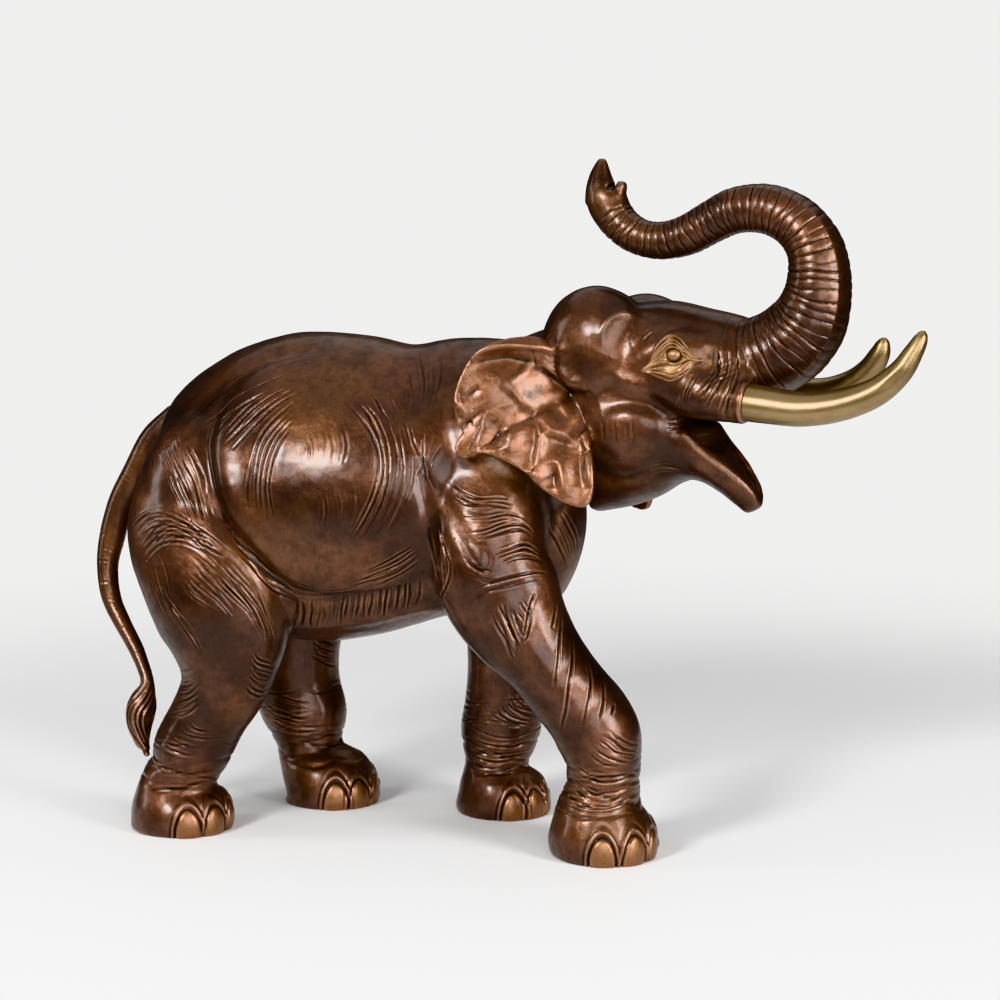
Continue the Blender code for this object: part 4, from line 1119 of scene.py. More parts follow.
print("toenails cover", int((nails > 0.5).sum()), "points")

# %% [markdown]
# ## Surface of the wax
# A modelled wax is never as even as a computed form. Two sizes of shallow lumps make the highlights waver the
# way they do on a hand-finished casting.

# %% Lumps
# height, size, seed
LUMPS = [(0.00045, 0.026, 1), (0.00016, 0.009, 2)]


def lumps(points, size, seed):
    """Smooth random values between -1 and 1 at the points, in blobs of about `size` metres."""
    lattice = np.random.default_rng(seed).uniform(-1, 1, (32, 32, 32))
    spot = points / size
    cell = np.floor(spot).astype(int)
    part = spot - cell
    part = part * part * (3 - 2 * part)
    value = np.zeros(len(points))
    for corner in np.ndindex(2, 2, 2):
        weight = np.prod(np.where(corner, part, 1 - part), axis=1)
        value += weight * lattice[tuple(((cell + corner) % 32).T)]
    return value


for height, size, seed in LUMPS:
    skin.travel += height * lumps(skin.points, size, seed)
print("lumps up to", round(float(np.abs(skin.travel).max()) * 1000, 2), "mm")

# %% [markdown]
# ## Eyes
# Each eye is an almond of thin lids round a small ball. The ridges and grooves of a lid are blended from two
# curves, its outer edge and its rim. The almond also says where the metal was polished to a golden brown.

# %% Sizes of the eyes
UPPER_LID = metres([
    (142, -62, 478), (150, -61, 488), (154, -61, 498), (160, -59, 507), (167, -56, 512), (174, -57, 512),
    (181, -59, 508), (188, -60, 501), (193, -58, 494), (199, -56, 490),
])
UPPER_RIM = metres([
    (142, -62, 478), (150, -61, 484), (156, -60, 490), (163, -59, 497), (169, -59, 501), (174, -59, 501),
    (179, -59, 498), (186, -60, 494), (192, -59, 491), (199, -56, 490),
])
LOWER_RIM = metres([
    (142, -62, 478), (150, -61, 482), (157, -60, 486), (164, -60, 488), (170, -61, 486.5),
    (176, -61, 486.5), (182, -60, 489), (187, -60, 491), (192, -59, 491), (199, -56, 490),
])
LOWER_LID = metres([
    (142, -62, 478), (150, -63, 476.5), (158, -64, 474), (166, -65, 472), (172, -66, 471),
    (179, -66, 473), (184, -64, 476), (189, -61, 482), (194, -59, 487), (199, -56, 490),
])
# Lines of the lids: share of the way between the two curves, width, height
UPPER_LINES = [
    (0.00, 1.3, 1.5), (0.20, 0.9, -1.4), (0.38, 0.9, 0.9), (0.52, 0.8, -0.8), (0.66, 0.9, 0.8),
    (0.80, 0.8, -0.9), (1.00, 1.2, 1.9),
]
LOWER_LINES = [
    (0.00, 1.1, 1.4), (0.20, 0.8, -1.1), (0.38, 1.0, 1.4), (0.54, 0.8, -1.2), (0.70, 1.0, 1.2),
    (0.85, 0.8, -1.1), (1.02, 1.2, 1.6),
]
# The ball: forward, up, half-width, half-height, and how far it and the groove round it stand out
EYEBALL = metres((173.5, 494.5, 6.6, 5.2))
EYEBALL_RISE, EYEBALL_GROOVE = 0.0030, 0.0016
print(len(UPPER_LINES) + len(LOWER_LINES), "lines round each eye")

# %% Eyes
def within(places, outline):
    """True for the places inside a flat outline."""
    inside = np.zeros(len(places), bool)
    for (x1, y1), (x2, y2) in zip(outline, np.roll(outline, -1, axis=0)):
        crosses = (places[:, 1] < y1) != (places[:, 1] < y2)
        x = x1 + (places[:, 1] - y1) * (x2 - x1) / (y2 - y1 + 1e-12)
        inside ^= crosses & (places[:, 0] < x)
    return inside


for first, last, lines in ((UPPER_LID, UPPER_RIM, UPPER_LINES), (LOWER_RIM, LOWER_LID, LOWER_LINES)):
    for share, *sizes in lines:
        for flip in (1, -1):
            fold(blended(first, last, share) * (1, flip, 1), *metres(sizes), HEAD_FRAME)
in_eye = np.zeros(len(skin.points))
spots = in_head(skin.points)
boxed = (spots > np.array(EYE_BOX[0]) * (1, -2, 1)) & (spots < np.array(EYE_BOX[1]) * (1, 2, 1))
index = boxed.all(1).nonzero()[0]
across, up = spots[index, 0], spots[index, 2]
out = np.hypot((across - EYEBALL[0]) / EYEBALL[2], (up - EYEBALL[1]) / EYEBALL[3])
ball = EYEBALL_RISE * np.sqrt(np.clip(1 - out**2, 0, 1))
skin.travel[index] += ball - EYEBALL_GROOVE * bell(out - 1.12, 0.16)
outline = np.array(UPPER_LID + LOWER_LID[::-1])[:, (0, 2)]
in_eye[index] = within(spots[index][:, (0, 2)], outline)
skin.settle()
print("eyes cover", int(in_eye.sum()), "points")

# %% [markdown]
# ## Chased strokes
# The sculptor drew the loose skin with more than a thousand fine strokes. They lie in fans that follow the
# muscles. A fan is given by its first and its last stroke, and those between are blended from the two, with a
# hairline after each. Every one has its own start, end, depth and a little unsteadiness from a seeded
# generator. It is laid on the skin and cut as a small groove with raised lips.

# %% One stroke
STROKE_WIDTH, STROKE_DEPTH, STROKE_LIP = 0.00122, 0.00072, 0.35
# Beyond this many of its widths there is next to nothing left of a stroke and its lips
STROKE_REACH = 3.6
# A point of a line that is further than this from the skin is left out
LOST = 0.014
tree = KDTree(len(skin.points))
for index, point in enumerate(skin.points.tolist()):
    tree.insert(point, index)
tree.balance()


def lay_down(path):
    """Each point of a path moved onto the nearest point of the skin, and the line evened out."""
    found = [tree.find(point) for point in path]
    laid = np.array([spot for spot, _, gap in found if gap < LOST])
    for _ in range(2):
        if len(laid) > 2:
            laid[1:-1] = (laid[:-2] + 2 * laid[1:-1] + laid[2:]) / 4
    return laid


def cut(path, depth, width=STROKE_WIDTH):
    """One stroke of the chasing tool: a groove with a raised lip on either side."""
    path = lay_down(path)
    if len(path) < 3:
        return
    index, gap, _, share = skin.along(path, STROKE_REACH * width)
    form = STROKE_LIP * bell(gap - 2 * width, width) - bell(gap, width)
    skin.travel[index] += depth * faded(share) * form


print("strokes are", STROKE_WIDTH * 2000, "mm wide")

# %% Fans
# A hairline's share of a stroke's depth
HAIRLINE = 0.55
# How far a line may stray from its place in the fan and from its full length, its depth and its width
STRAY, UNEVEN, DEPTHS, WIDTHS = 0.8, 0.07, (0.45, 1.25), (0.8, 1.15)
# The most that a line sways, in metres and as a share of its length
SWAY, SWAY_SHARE = 0.0010, 0.016
hand = np.random.default_rng(11)


def resampled(line, shares):
    """The points of a line at the given shares of it."""
    places = np.linspace(0, 1, len(line))
    return np.array([np.interp(shares, places, line[:, k]) for k in range(3)]).T


def fan(first, last, count, depth, turned=None):
    """Cut strokes from the first line to the last one, with a hairline after each. Returns the lines."""
    ends = [resampled(smooth_rows(line, 5), np.linspace(0, 1, 16)) for line in (first, last)]
    lines = []
    for i in range(2 * count - 1):
        hairline = HAIRLINE if i % 2 else 1.0
        share = np.clip((i + hand.uniform(-STRAY, STRAY)) / (2 * count - 2), 0, 1)
        line = ends[0] * (1 - share) + ends[1] * share
        start, end = hand.uniform(0, 2 * UNEVEN), 1 - hand.uniform(0, 2 * UNEVEN)
        keep = np.linspace(start, end, 16)
        line = resampled(line, keep)
        sway = min(SWAY, SWAY_SHARE * np.linalg.norm(line[-1] - line[0]))
        sway = sway * np.sin(hand.uniform(0, 6.3) + keep[:, None] * hand.uniform(4, 11, 3))
        lines.append(placed(line + sway, turned))
        depth_here = STROKE_DEPTH * depth * hairline * hand.uniform(*DEPTHS)
        cut(lines[-1], depth_here, STROKE_WIDTH * hairline**0.5 * hand.uniform(*WIDTHS))
    return lines


def fans_of_both_sides(fans, turned=None):
    """The fans of the right side, and the same mirrored, with strokes of their own."""
    drawn = []
    for first, last, count, depth in fans:
        first, last = metres([first, last])
        drawn += fan(first, last, count, depth, turned)
        drawn += fan(mirrored(first), mirrored(last), count, depth, turned)
    return drawn


print("hairlines are", HAIRLINE, "as deep as strokes")

# %% [markdown]
# Body fans are given on the right side: down the barrel, before the haunch, behind the shoulder and on the
# hem of the belly. The left side mirrors them, with strokes of its own.

# %% Fans of the body
# First stroke, last stroke, number, depth
BODY_FANS = [
    ([(-202, -77, 456), (-227, -84, 443), (-249, -92, 426), (-271, -98, 388)],
     [(-176, -84, 452), (-199, -91, 439), (-218, -99, 422), (-247, -110, 390)], 4, 1.1),
    ([(-180, -91, 443), (-214, -106, 410), (-224, -120, 362), (-222, -122, 330)],
     [(-180, -105, 425), (-194, -116, 392), (-199, -122, 355), (-194, -123, 320)], 5, 1.2),
    ([(-139, -87, 447), (-114, -100, 429), (-98, -110, 406), (-92, -118, 381), (-98, -123, 351),
      (-112, -124, 325), (-126, -121, 305)],
     [(-79, -87, 434), (-67, -99, 415), (-59, -110, 377), (-64, -116, 352), (-75, -118, 329),
      (-88, -118, 314)], 7, 1.2),
    ([(-123, -91, 441), (-107, -99, 427), (-95, -107, 409)],
     [(-95, -71, 456), (-81, -82, 441), (-70, -93, 423)], 5, 1.0),
    ([(-56, -109, 311), (-73, -110, 298), (-95, -110, 286), (-118, -110, 277)],
     [(-54, -102, 290), (-77, -98, 275), (-103, -97, 264), (-126, -98, 258)], 5, 1.3),
    ([(-247, -114, 318), (-227, -114, 296), (-209, -109, 277), (-180, -102, 254)],
     [(-232, -121, 290), (-215, -115, 270), (-197, -98, 249), (-176, -90, 237)], 4, 1.1),
    ([(-186, -93, 243), (-191, -83, 226), (-198, -69, 209)],
     [(-57, -92, 271), (-62, -81, 253), (-69, -66, 236)], 17, 1.5),
    ([(-168, -108, 415), (-162, -116, 397), (-162, -122, 383)],
     [(-130, -106, 419), (-124, -115, 402), (-126, -122, 382)], 6, 0.5),
    ([(-152, -126, 358), (-148, -126, 339), (-151, -124, 316)],
     [(-113, -124, 366), (-109, -125, 344), (-118, -124, 321)], 8, 0.5),
    ([(-72, -93, 423), (-62, -102, 406), (-53, -105, 384), (-58, -109, 373)],
     [(-26, -93, 409), (-39, -101, 391), (-44, -105, 373), (-38, -105, 358)], 4, 1.1),
    ([(-365, -80, 304), (-332, -102, 335), (-284, -120, 324), (-246, -127, 287)],
     [(-341, -110, 275), (-313, -120, 300), (-280, -125, 300), (-250, -128, 276)], 6, 1.1),
    ([(-330, -78, 397), (-310, -105, 361), (-283, -122, 315)],
     [(-292, -95, 400), (-272, -108, 363), (-259, -116, 325)], 7, 1.0),
    ([(-315, -88, 399), (-262, -59, 452), (-163, -43, 488)],
     [(-282, -94, 400), (-231, -88, 436), (-145, -67, 468)], 4, 0.7),
    ([(-24, -103, 368), (-13, -108, 358), (3, -111, 353), (21, -107, 355), (35, -101, 353)],
     [(-20, -108, 352), (0, -114, 346), (18, -111, 348), (38, -104, 344)], 4, 1.3),
    ([(-2, -120, 323), (13, -120, 325), (28, -113, 332), (43, -104, 333), (56, -93, 321)],
     [(6, -122, 314), (24, -119, 320), (39, -111, 323), (50, -102, 322), (59, -90, 311)], 3, 1.6),
    ([(-10, -116, 341), (10, -115, 338), (30, -108, 342), (48, -99, 337)],
     [(-4, -118, 331), (16, -117, 332), (34, -110, 336), (52, -95, 328)], 3, 1.0),
    ([(25, -123, 304), (39, -116, 307), (51, -105, 310), (63, -90, 300)],
     [(33, -123, 293), (46, -115, 297), (60, -102, 294), (68, -92, 289)], 4, 1.4),
    ([(4, -128, 269), (26, -127, 277), (47, -119, 282), (65, -102, 284), (71, -94, 280)],
     [(3, -127, 260), (26, -127, 268), (50, -118, 276), (66, -103, 277)], 3, 1.2),
    ([(-41, -104, 334), (-30, -114, 314), (-35, -104, 282), (-48, -76, 252)],
     [(-26, -117, 307), (-19, -122, 285), (-24, -116, 265), (-36, -100, 250)], 5, 1.4),
    ([(60, -64, 328), (70, -41, 300), (72, -22, 267)],
     [(75, -36, 339), (83, -18, 307), (84, -10, 285)], 4, 0.9),
    ([(-49, -106, 330), (-45, -104, 306), (-42, -101, 281), (-41, -82, 253)],
     [(-21, -119, 314), (-17, -122, 295), (-13, -124, 276), (-6, -123, 255)], 4, 1.2),
    ([(-7, -125, 300), (9, -127, 289), (28, -126, 286)],
     [(-1, -127, 283), (17, -128, 274), (35, -125, 276)], 3, 1.0),
    ([(-334, -112, 285), (-329, -114, 262), (-320, -118, 239), (-308, -123, 222)],
     [(-316, -119, 291), (-307, -125, 268), (-296, -128, 246), (-282, -131, 229)], 4, 0.7),
    ([(-220, -112, 290), (-186, -107, 264), (-143, -99, 257), (-90, -105, 278)],
     [(-221, -119, 275), (-195, -96, 246), (-144, -93, 243), (-98, -94, 258)], 3, 0.8),
    ([(-97, -28, 486), (-82, -57, 466), (-73, -77, 443), (-72, -96, 421)],
     [(-55, -25, 490), (-46, -52, 471), (-44, -69, 453), (-46, -82, 435)], 5, 0.6),
]
print(len(fans_of_both_sides(BODY_FANS)), "strokes on the body")

# %% [markdown]
# The four legs stand differently, so the fans of one leg are carried over to another through the leg's own
# measures: the height, and how far out a point is from the middle as a part of the leg's size there.

# %% Fans of the legs
# Fans of the right legs: first stroke, last stroke, number, depth
LEG_FANS = {
    "hind": [
        ([(-334, -110, 303), (-311, -115, 323), (-268, -124, 315), (-238, -124, 293)],
         [(-313, -120, 289), (-296, -122, 304), (-268, -126, 299), (-240, -126, 285)], 7, 1.1),
        ([(-287, -125, 293), (-255, -129, 267), (-225, -122, 235), (-214, -112, 210)],
         [(-235, -125, 284), (-217, -119, 257), (-208, -110, 234), (-205, -93, 190)], 12, 1.1),
        ([(-293, -128, 266), (-281, -131, 252), (-264, -132, 242), (-251, -131, 232)],
         [(-276, -128, 280), (-261, -130, 265), (-243, -129, 248), (-230, -125, 228)], 7, 0.9),
        ([(-329, -115, 266), (-302, -126, 233), (-277, -128, 198), (-270, -125, 180)],
         [(-311, -124, 260), (-300, -127, 239), (-282, -130, 220), (-269, -128, 197)], 5, 0.8),
        ([(-222, -117, 197), (-216, -112, 188), (-207, -94, 181)],
         [(-233, -113, 160), (-228, -104, 150), (-224, -80, 143)], 8, 1.2),
        ([(-306, -98, 168), (-287, -120, 176), (-277, -125, 186)],
         [(-320, -96, 118), (-294, -113, 126), (-275, -119, 142)], 9, 0.9),
        ([(-292, -114, 122), (-284, -114, 114), (-266, -111, 110)],
         [(-330, -99, 92), (-311, -110, 83), (-288, -110, 80)], 5, 1.1),
    ],
    "fore": [
        ([(21, -127, 251), (30, -126, 230), (36, -125, 217), (44, -123, 200)],
         [(33, -127, 259), (40, -126, 238), (47, -125, 222), (53, -124, 207)], 4, 1.9),
        ([(51, -121, 261), (55, -120, 253), (59, -119, 247)],
         [(44, -125, 244), (49, -125, 236), (53, -124, 230)], 7, 0.8),
        ([(133, -110, 135), (141, -107, 127), (149, -100, 120), (157, -83, 115)],
         [(113, -114, 112), (122, -113, 105), (134, -107, 99), (148, -97, 95)], 6, 1.4),
        ([(86, -106, 100), (115, -110, 88), (139, -103, 86), (155, -81, 92)],
         [(84, -100, 60), (112, -114, 52), (140, -108, 52), (154, -87, 58)], 7, 1.0),
    ],
}
# Single deep strokes of the right foreleg, and their depths
LEG_STROKES = [
    ([(61, -115, 263), (57, -119, 249), (54, -124, 225)], 2.4),
    ([(59, -119, 249), (58, -122, 232), (55, -124, 219)], 1.8),
    ([(43, -125, 248), (48, -125, 234), (52, -124, 225)], 1.6),
    ([(79, -94, 253), (78, -101, 243), (77, -109, 231)], 1.6),
    ([(136, -97, 157), (136, -101, 153), (135, -104, 148)], 1.4),
    ([(82, -92, 240), (85, -108, 219), (85, -115, 201), (82, -121, 175)], 1.8),
    ([(95, -92, 220), (97, -104, 203), (96, -117, 178), (93, -119, 153), (88, -113, 132)], 1.8),
    ([(110, -92, 197), (114, -102, 182), (114, -110, 165), (109, -115, 140)], 1.7),
    ([(123, -91, 178), (126, -99, 169), (127, -107, 157), (124, -113, 143)], 1.7),
]
print(sum(len(fans) for fans in LEG_FANS.values()), "fans and", len(LEG_STROKES), "single strokes")

# %% Carry them to every leg
def measures(leg, height):
    """Where the middle of a leg is at a height, its half-length and its half-width."""
    rows = np.array(LEGS[leg])[::-1]
    return [np.interp(height, rows[:, 2], rows[:, k]) for k in (0, 1, 4, 3)]


def carried(path, leg, other, inside):
    """A path on one leg, at the same place of another leg, or on its inner side."""
    moved = []
    for x, y, z in path:
        x1, y1, length1, width1 = measures(leg, z)
        x2, y2, length2, width2 = measures(other, z)
        out = abs(y - y1) / width1 * width2
        which = RIGHT if other.startswith("right") else LEFT
        moved.append((x2 + (x - x1) / length1 * length2, y2 + (-which if inside else which) * out, z))
    return moved


drawn = []
for name, fans in LEG_FANS.items():
    for first, last, count, depth in fans:
        for other in ("right " + name, "left " + name):
            for inside in (False, True):
                lines = [carried(metres(line), "right " + name, other, inside) for line in (first, last)]
                drawn += fan(*lines, count, depth)
for path, depth in LEG_STROKES:
    for line in (metres(path), carried(metres(path), "right fore", "left fore", False)):
        cut(smooth_rows(line, 6), STROKE_DEPTH * depth)
print(len(drawn), "strokes on the legs")

# %% [markdown]
# Short creases ring the shins and ankles. They are arcs of random length at random heights.

# %% Creases round the legs
CREASES = {
    # leg: lowest and highest crease, number
    "right hind": (0.045, 0.115, 44), "left hind": (0.045, 0.130, 40),
    "right fore": (0.045, 0.105, 56), "left fore": (0.045, 0.135, 44),
}
# Shortest and longest arc, furthest droop and rise of its middle, and least and greatest depth
CREASE_ARC, CREASE_DROOP, CREASE_DEPTH = (0.5, 1.5), (-0.007, 0.004), (0.4, 0.9)
for leg, (low, high, count) in CREASES.items():
    for _ in range(count):
        height = hand.uniform(low, high)
        x, y, length, width = measures(leg, height)
        turn = hand.uniform(0, 2 * math.pi) + np.linspace(0, hand.uniform(*CREASE_ARC), 10)
        heights = height + hand.uniform(*CREASE_DROOP) * np.sin(np.linspace(0, math.pi, 10))
        arc = np.array([x + length * np.cos(turn), y + width * np.sin(turn), heights]).T
        cut(arc, STROKE_DEPTH * hand.uniform(*CREASE_DEPTH))
print(sum(count for _, _, count in CREASES.values()), "creases")

# %% [markdown]
# The tail has short marks across it and ends in a tuft, whose locks twist a little on their way down.

# %% Strokes of the tail
# Shares of the tail's length, the number of locks, their twist and their depth
TUFT_FROM, TUFT_TO, LOCKS, LOCK_TWIST, LOCK_DEPTH = 0.71, 0.985, 9, 1.3, 1.9
MARKS_FROM, MARKS_LENGTH, MARKS, MARK_DEPTH, MARK_WIDTH = 0.14, 0.55, 34, (0.3, 0.7), 0.8
tail_line = smooth_rows(TAIL, 4)
_, across, deep = spine_of(tail_line[:, :3])


def on_tail(share, turn):
    """The point of the tail's skin at a share of its length and an angle round it."""
    place = share * (len(tail_line) - 1)
    rows = np.arange(len(tail_line))
    *middle, wide, thick = (np.interp(place, rows, column) for column in tail_line.T)
    row = int(round(place))
    return middle + wide * math.cos(turn) * across[row] + thick * math.sin(turn) * deep[row]


for lock in range(LOCKS):
    shares = np.linspace(TUFT_FROM, TUFT_TO, 14)
    start = 2 * math.pi * (lock + hand.uniform(-0.2, 0.2)) / LOCKS
    turns = start + LOCK_TWIST * np.sin(math.pi * np.linspace(0, 1, 14))
    cut(np.array([on_tail(*place) for place in zip(shares, turns)]), STROKE_DEPTH * LOCK_DEPTH)
for mark in range(MARKS):
    share = MARKS_FROM + MARKS_LENGTH * (mark + hand.uniform(0, 0.6)) / MARKS
    turns = hand.uniform(0, 2 * math.pi) + np.linspace(0, hand.uniform(1.0, 2.2), 9)
    line = np.array([on_tail(share, turn) for turn in turns])
    cut(line, STROKE_DEPTH * hand.uniform(*MARK_DEPTH), STROKE_WIDTH * MARK_WIDTH)
print(LOCKS, "locks and", MARKS, "marks")

# %% [markdown]
# On the head the strokes are fewer and each one matters: the cheek, the corner of the mouth, the folds below
# the eye and behind the sleeve of the tusk, and the chin.

# %% Fans of the head
# First stroke, last stroke, number, depth
HEAD_FANS = [
    ([(104, -68, 432), (105, -67, 420), (106, -67, 408)],
     [(134, -66, 432), (135, -65, 420), (136, -64, 408)], 4, 0.8),
    ([(160, -49, 433), (168, -44, 433), (175, -39, 431)],
     [(163, -49, 422), (169, -42, 424), (175, -33, 425)], 3, 0.9),
    ([(207, -47, 506), (213, -48, 492), (212, -54, 477), (207, -66, 464), (195, -66, 450)],
     [(240, -38, 492), (237, -44, 480), (238, -61, 465), (236, -66, 451), (232, -61, 439)], 9, 1.1),
    ([(191, -61, 479), (187, -65, 467), (182, -65, 455), (176, -57, 443)],
     [(202, -57, 481), (197, -65, 468), (191, -66, 455), (186, -61, 443)], 3, 1.4),
    ([(196, -65, 466), (212, -54, 480), (232, -44, 490)],
     [(200, -66, 455), (218, -60, 468), (238, -46, 480)], 3, 0.7),
    ([(134, -49, 382), (153, -44, 390), (179, -32, 383)],
     [(140, -46, 372), (160, -40, 380), (182, -30, 374)], 3, 0.7),
    ([(137, -55, 511), (141, -52, 515), (145, -48, 519)],
     [(141, -58, 507), (146, -54, 511), (150, -51, 515)], 3, 1.0),
]
drawn = fans_of_both_sides(HEAD_FANS, HEAD_FRAME)
skin.settle()
print(len(drawn), "strokes on the head")

# %% [markdown]
# ## Painted numbers
# Old bronze is dark where polish can't reach and bright where hands have rubbed it, and the dark in the
# strokes and folds is deepened further as painted shade. How far a point stands above a softened copy of the
# skin says which it is. A little softening finds the strokes, and a lot of it finds the muscles. The numbers
# are kept on the mesh, so the material can read them anywhere.

# %% Heights over a softened skin
def softened(passes):
    soften = wax.modifiers.new("soften", "SMOOTH")
    soften.factor = 0.5
    soften.iterations = passes
    graph = bpy.context.evaluated_depsgraph_get()
    points = vectors(wax.evaluated_get(graph).data.vertices, "co")
    wax.modifiers.clear()
    return points


FINE_PASSES, BROAD_PASSES = ((18, 75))
fine_height = ((skin.points - softened(FINE_PASSES)) * skin.normals).sum(1)
broad_height = ((skin.points - softened(BROAD_PASSES)) * skin.normals).sum(1)
print("fine heights, mm", np.round(np.percentile(fine_height, (1, 50, 99)) * 1000, 2))
print("broad heights, mm", np.round(np.percentile(broad_height, (1, 50, 99)) * 1000, 2))

# %% Ears and mouth
# Width of the blurred edge of a painted patch, and how near to its leaf the skin of an ear lies
EDGE, EAR_REACH = 0.003, 0.010
# Hollow of the mouth, which is painted near black as painted shade: forward, left, up, radius
SHADED_MOUTH = metres([(160, 0, 428, 34), (180, 0, 419, 30), (196, 0, 411, 18)])


def ear_share():
    """1 on the ears and 0 elsewhere."""
    share = np.zeros(len(skin.points))
    for sheet in EAR_SHEETS:
        spots = placed(sheet[2:].reshape(-1, 3), HEAD_FRAME)
        index = skin.near(spots, EAR_REACH)
        gap = np.full(len(index), np.inf)
        for spot in spots:
            gap = np.minimum(gap, ((skin.points[index] - spot) ** 2).sum(1))
        share[index] = np.maximum(share[index], np.clip((EAR_REACH - np.sqrt(gap)) / EDGE, 0, 1))
    return share


def shaded_mouth_share():
    """1 inside the mouth, where shade is painted, from the throat to the tip of the jaw."""
    share = np.zeros(len(skin.points))
    spots = in_head(skin.points)
    for (*middle, reach), (*other, other_reach) in zip(SHADED_MOUTH, SHADED_MOUTH[1:]):
        for part in np.linspace(0, 1, 6):
            gap = np.linalg.norm(spots - blended(middle, other, part), axis=1)
            inside = (reach + (other_reach - reach) * part - gap) / EDGE
            share = np.maximum(share, np.clip(inside, 0, 1))
    return share


print("painted patches fade over", EDGE * 1000, "mm")

# %% Paint the numbers on
# The heights that count as 1
FINE_UNIT, BROAD_UNIT = 0.0005, 0.002
painted = {
    "shaded_mouth": shaded_mouth_share(),
    "fine": fine_height / FINE_UNIT,
    "broad": broad_height / BROAD_UNIT,
    "nails": nails,
    "eyes": in_eye,
    "ears": ear_share(),
    "band": trunk_band,
}
for name, values in painted.items():
    wax.data.attributes.new(name, "FLOAT", "POINT").data.foreach_set("value", values.astype(np.float32))
print("painted", sorted(painted))

# %% [markdown]
# ## Thinning and cutting apart
# A million points are too many. Decimate merges points where the skin is flat and keeps them where it bends,
# so the strokes stay crisp. The result is cut into trunk, head, ears, shoulders, haunches, forelegs and hind
# legs, as large castings are before they are poured and joined. Each part keeps the normals of the whole, so
# no seam shows.

# %% Thin the skin
MOST_TRIANGLES = 840_000
thin = wax.modifiers.new("fewer triangles", "DECIMATE")
thin.ratio = min(1.0, MOST_TRIANGLES / (2 * len(wax.data.polygons)))
wax.modifiers.new("triangles", "TRIANGULATE")
apply_modifiers(wax)
print("thinned to", len(wax.data.polygons), "triangles")

# %% Parts of a skin
def read_all(mesh):
    """The thinned skin as arrays: points, normals, triangles and painted numbers."""
    corners = np.empty(len(mesh.loops), np.int32)
    mesh.loops.foreach_get("vertex_index", corners)
    numbers = {}
    for name in painted:
        numbers[name] = np.empty(len(mesh.vertices), np.float32)
        mesh.attributes[name].data.foreach_get("value", numbers[name])
    return vectors(mesh.vertices, "co"), vectors(mesh.vertices, "normal"), corners.reshape(-1, 3), numbers


CENTRING = (0.0001, 0.0036, 0.0)


def inside_solids(points):
    """Points moved to where the solids stand, and no further out than they reach."""
    return np.clip(points + CENTRING, *np.array(cad_box))


def part_of_skin(name, triangles, points, normals, numbers):
    """An object of some of the triangles, with the normals and painted numbers of the whole."""
    used, corners = np.unique(triangles, return_inverse=True)
    mesh = bpy.data.meshes.new(name)
    mesh.vertices.add(len(used))
    mesh.vertices.foreach_set("co", points[used].ravel())
    mesh.loops.add(len(triangles) * 3)
    mesh.loops.foreach_set("vertex_index", corners.ravel().astype(np.int32))
    mesh.polygons.add(len(triangles))
    mesh.polygons.foreach_set("loop_start", np.arange(0, len(triangles) * 3, 3, dtype=np.int32))
    mesh.update(calc_edges=True)
    mesh.polygons.foreach_set("use_smooth", np.ones(len(triangles), bool))
    for label, values in numbers.items():
        mesh.attributes.new(label, "FLOAT", "POINT").data.foreach_set("value", values[used])
    mesh.validate()
    mesh.normals_split_custom_set_from_vertices(normals[used])
    return new_object(name, mesh)


print("the solids stand", CENTRING, "from the sizes above")

# %% Cut it apart
# Planes across the roots of trunk and neck, as two directions and a distance, and levels for the others
TRUNK_PLANE, TRUNK_TOP = (0.6, 0.8, 0.577), 0.572
NECK_PLANE, HEAD_LOW = (0.928, 0.371, 0.2133), 0.33
LEG_TOP, TAIL_REACH = 0.20, 0.017
FORELEGS_FROM, SHOULDERS_FROM = -0.085, -0.14
points, normals, triangles, numbers = read_all(wax.data)
middles = points[triangles].mean(1)
ahead, _, up = in_head(middles).T
along, high, distance = TRUNK_PLANE
on_trunk = (along * ahead + high * up > distance) | (up > TRUNK_TOP)
along, high, distance = NECK_PLANE
on_head = (along * middles[:, 0] + high * middles[:, 2] > distance) & (middles[:, 2] > HEAD_LOW)
on_ear = numbers["ears"][triangles].mean(1) > 0.5
on_trunk &= ~on_ear
on_head &= ~(on_trunk | on_ear)
tail_gap = path_gap(middles, middles, tail_line[:, :3])[0]
on_leg = (middles[:, 2] < LEG_TOP) & (tail_gap > TAIL_REACH) & ~(on_head | on_ear)
on_foreleg = on_leg & (middles[:, 0] > FORELEGS_FROM)
in_front = middles[:, 0] > SHOULDERS_FROM
elsewhere = ~(on_trunk | on_head | on_ear | on_leg)
print("skin reaches", points.min(0).round(4), points.max(0).round(4))
points = inside_solids(points)
bronze_pieces = [
    part_of_skin(name, triangles[chosen], points, normals, numbers)
    for name, chosen in (
        ("elephant_trunk", on_trunk), ("elephant_head", on_head), ("elephant_ears", on_ear),
        ("elephant_forelegs", on_foreleg), ("elephant_hind_legs", on_leg & ~on_foreleg),
        ("elephant_shoulders", elsewhere & in_front), ("elephant_haunches", elsewhere & ~in_front),
    )
]
bpy.data.objects.remove(wax)
for piece in bronze_pieces:
    print(piece.name, len(piece.data.polygons), "triangles")

# %% [markdown]
# ## Tusks
# The tusks are polished brass, let into the sleeves of the lip. A loft of many sides is all they need, since
# nothing is carved on them.

# %% Tusks
TUSK_SIDES, TUSK_STEPS = 64, 12
brass_pieces = []
for name, stations in (("right_tusk", RIGHT_TUSK), ("left_tusk", LEFT_TUSK)):
    tusk = loft(name, stations, HEAD_FRAME, TUSK_STEPS, TUSK_SIDES)
    tusk.data.transform(Matrix.Translation(CENTRING) @ tusk.matrix_world)
    tusk.matrix_world = Matrix.Identity(4)
    for vertex in tusk.data.vertices:
        vertex.co = np.clip(vertex.co, *np.array(cad_box))
    tusk.data.polygons.foreach_set("use_smooth", np.ones(len(tusk.data.polygons), bool))
    brass_pieces.append(tusk)
print("tusks have", sum(len(tusk.data.polygons) for tusk in brass_pieces), "faces")
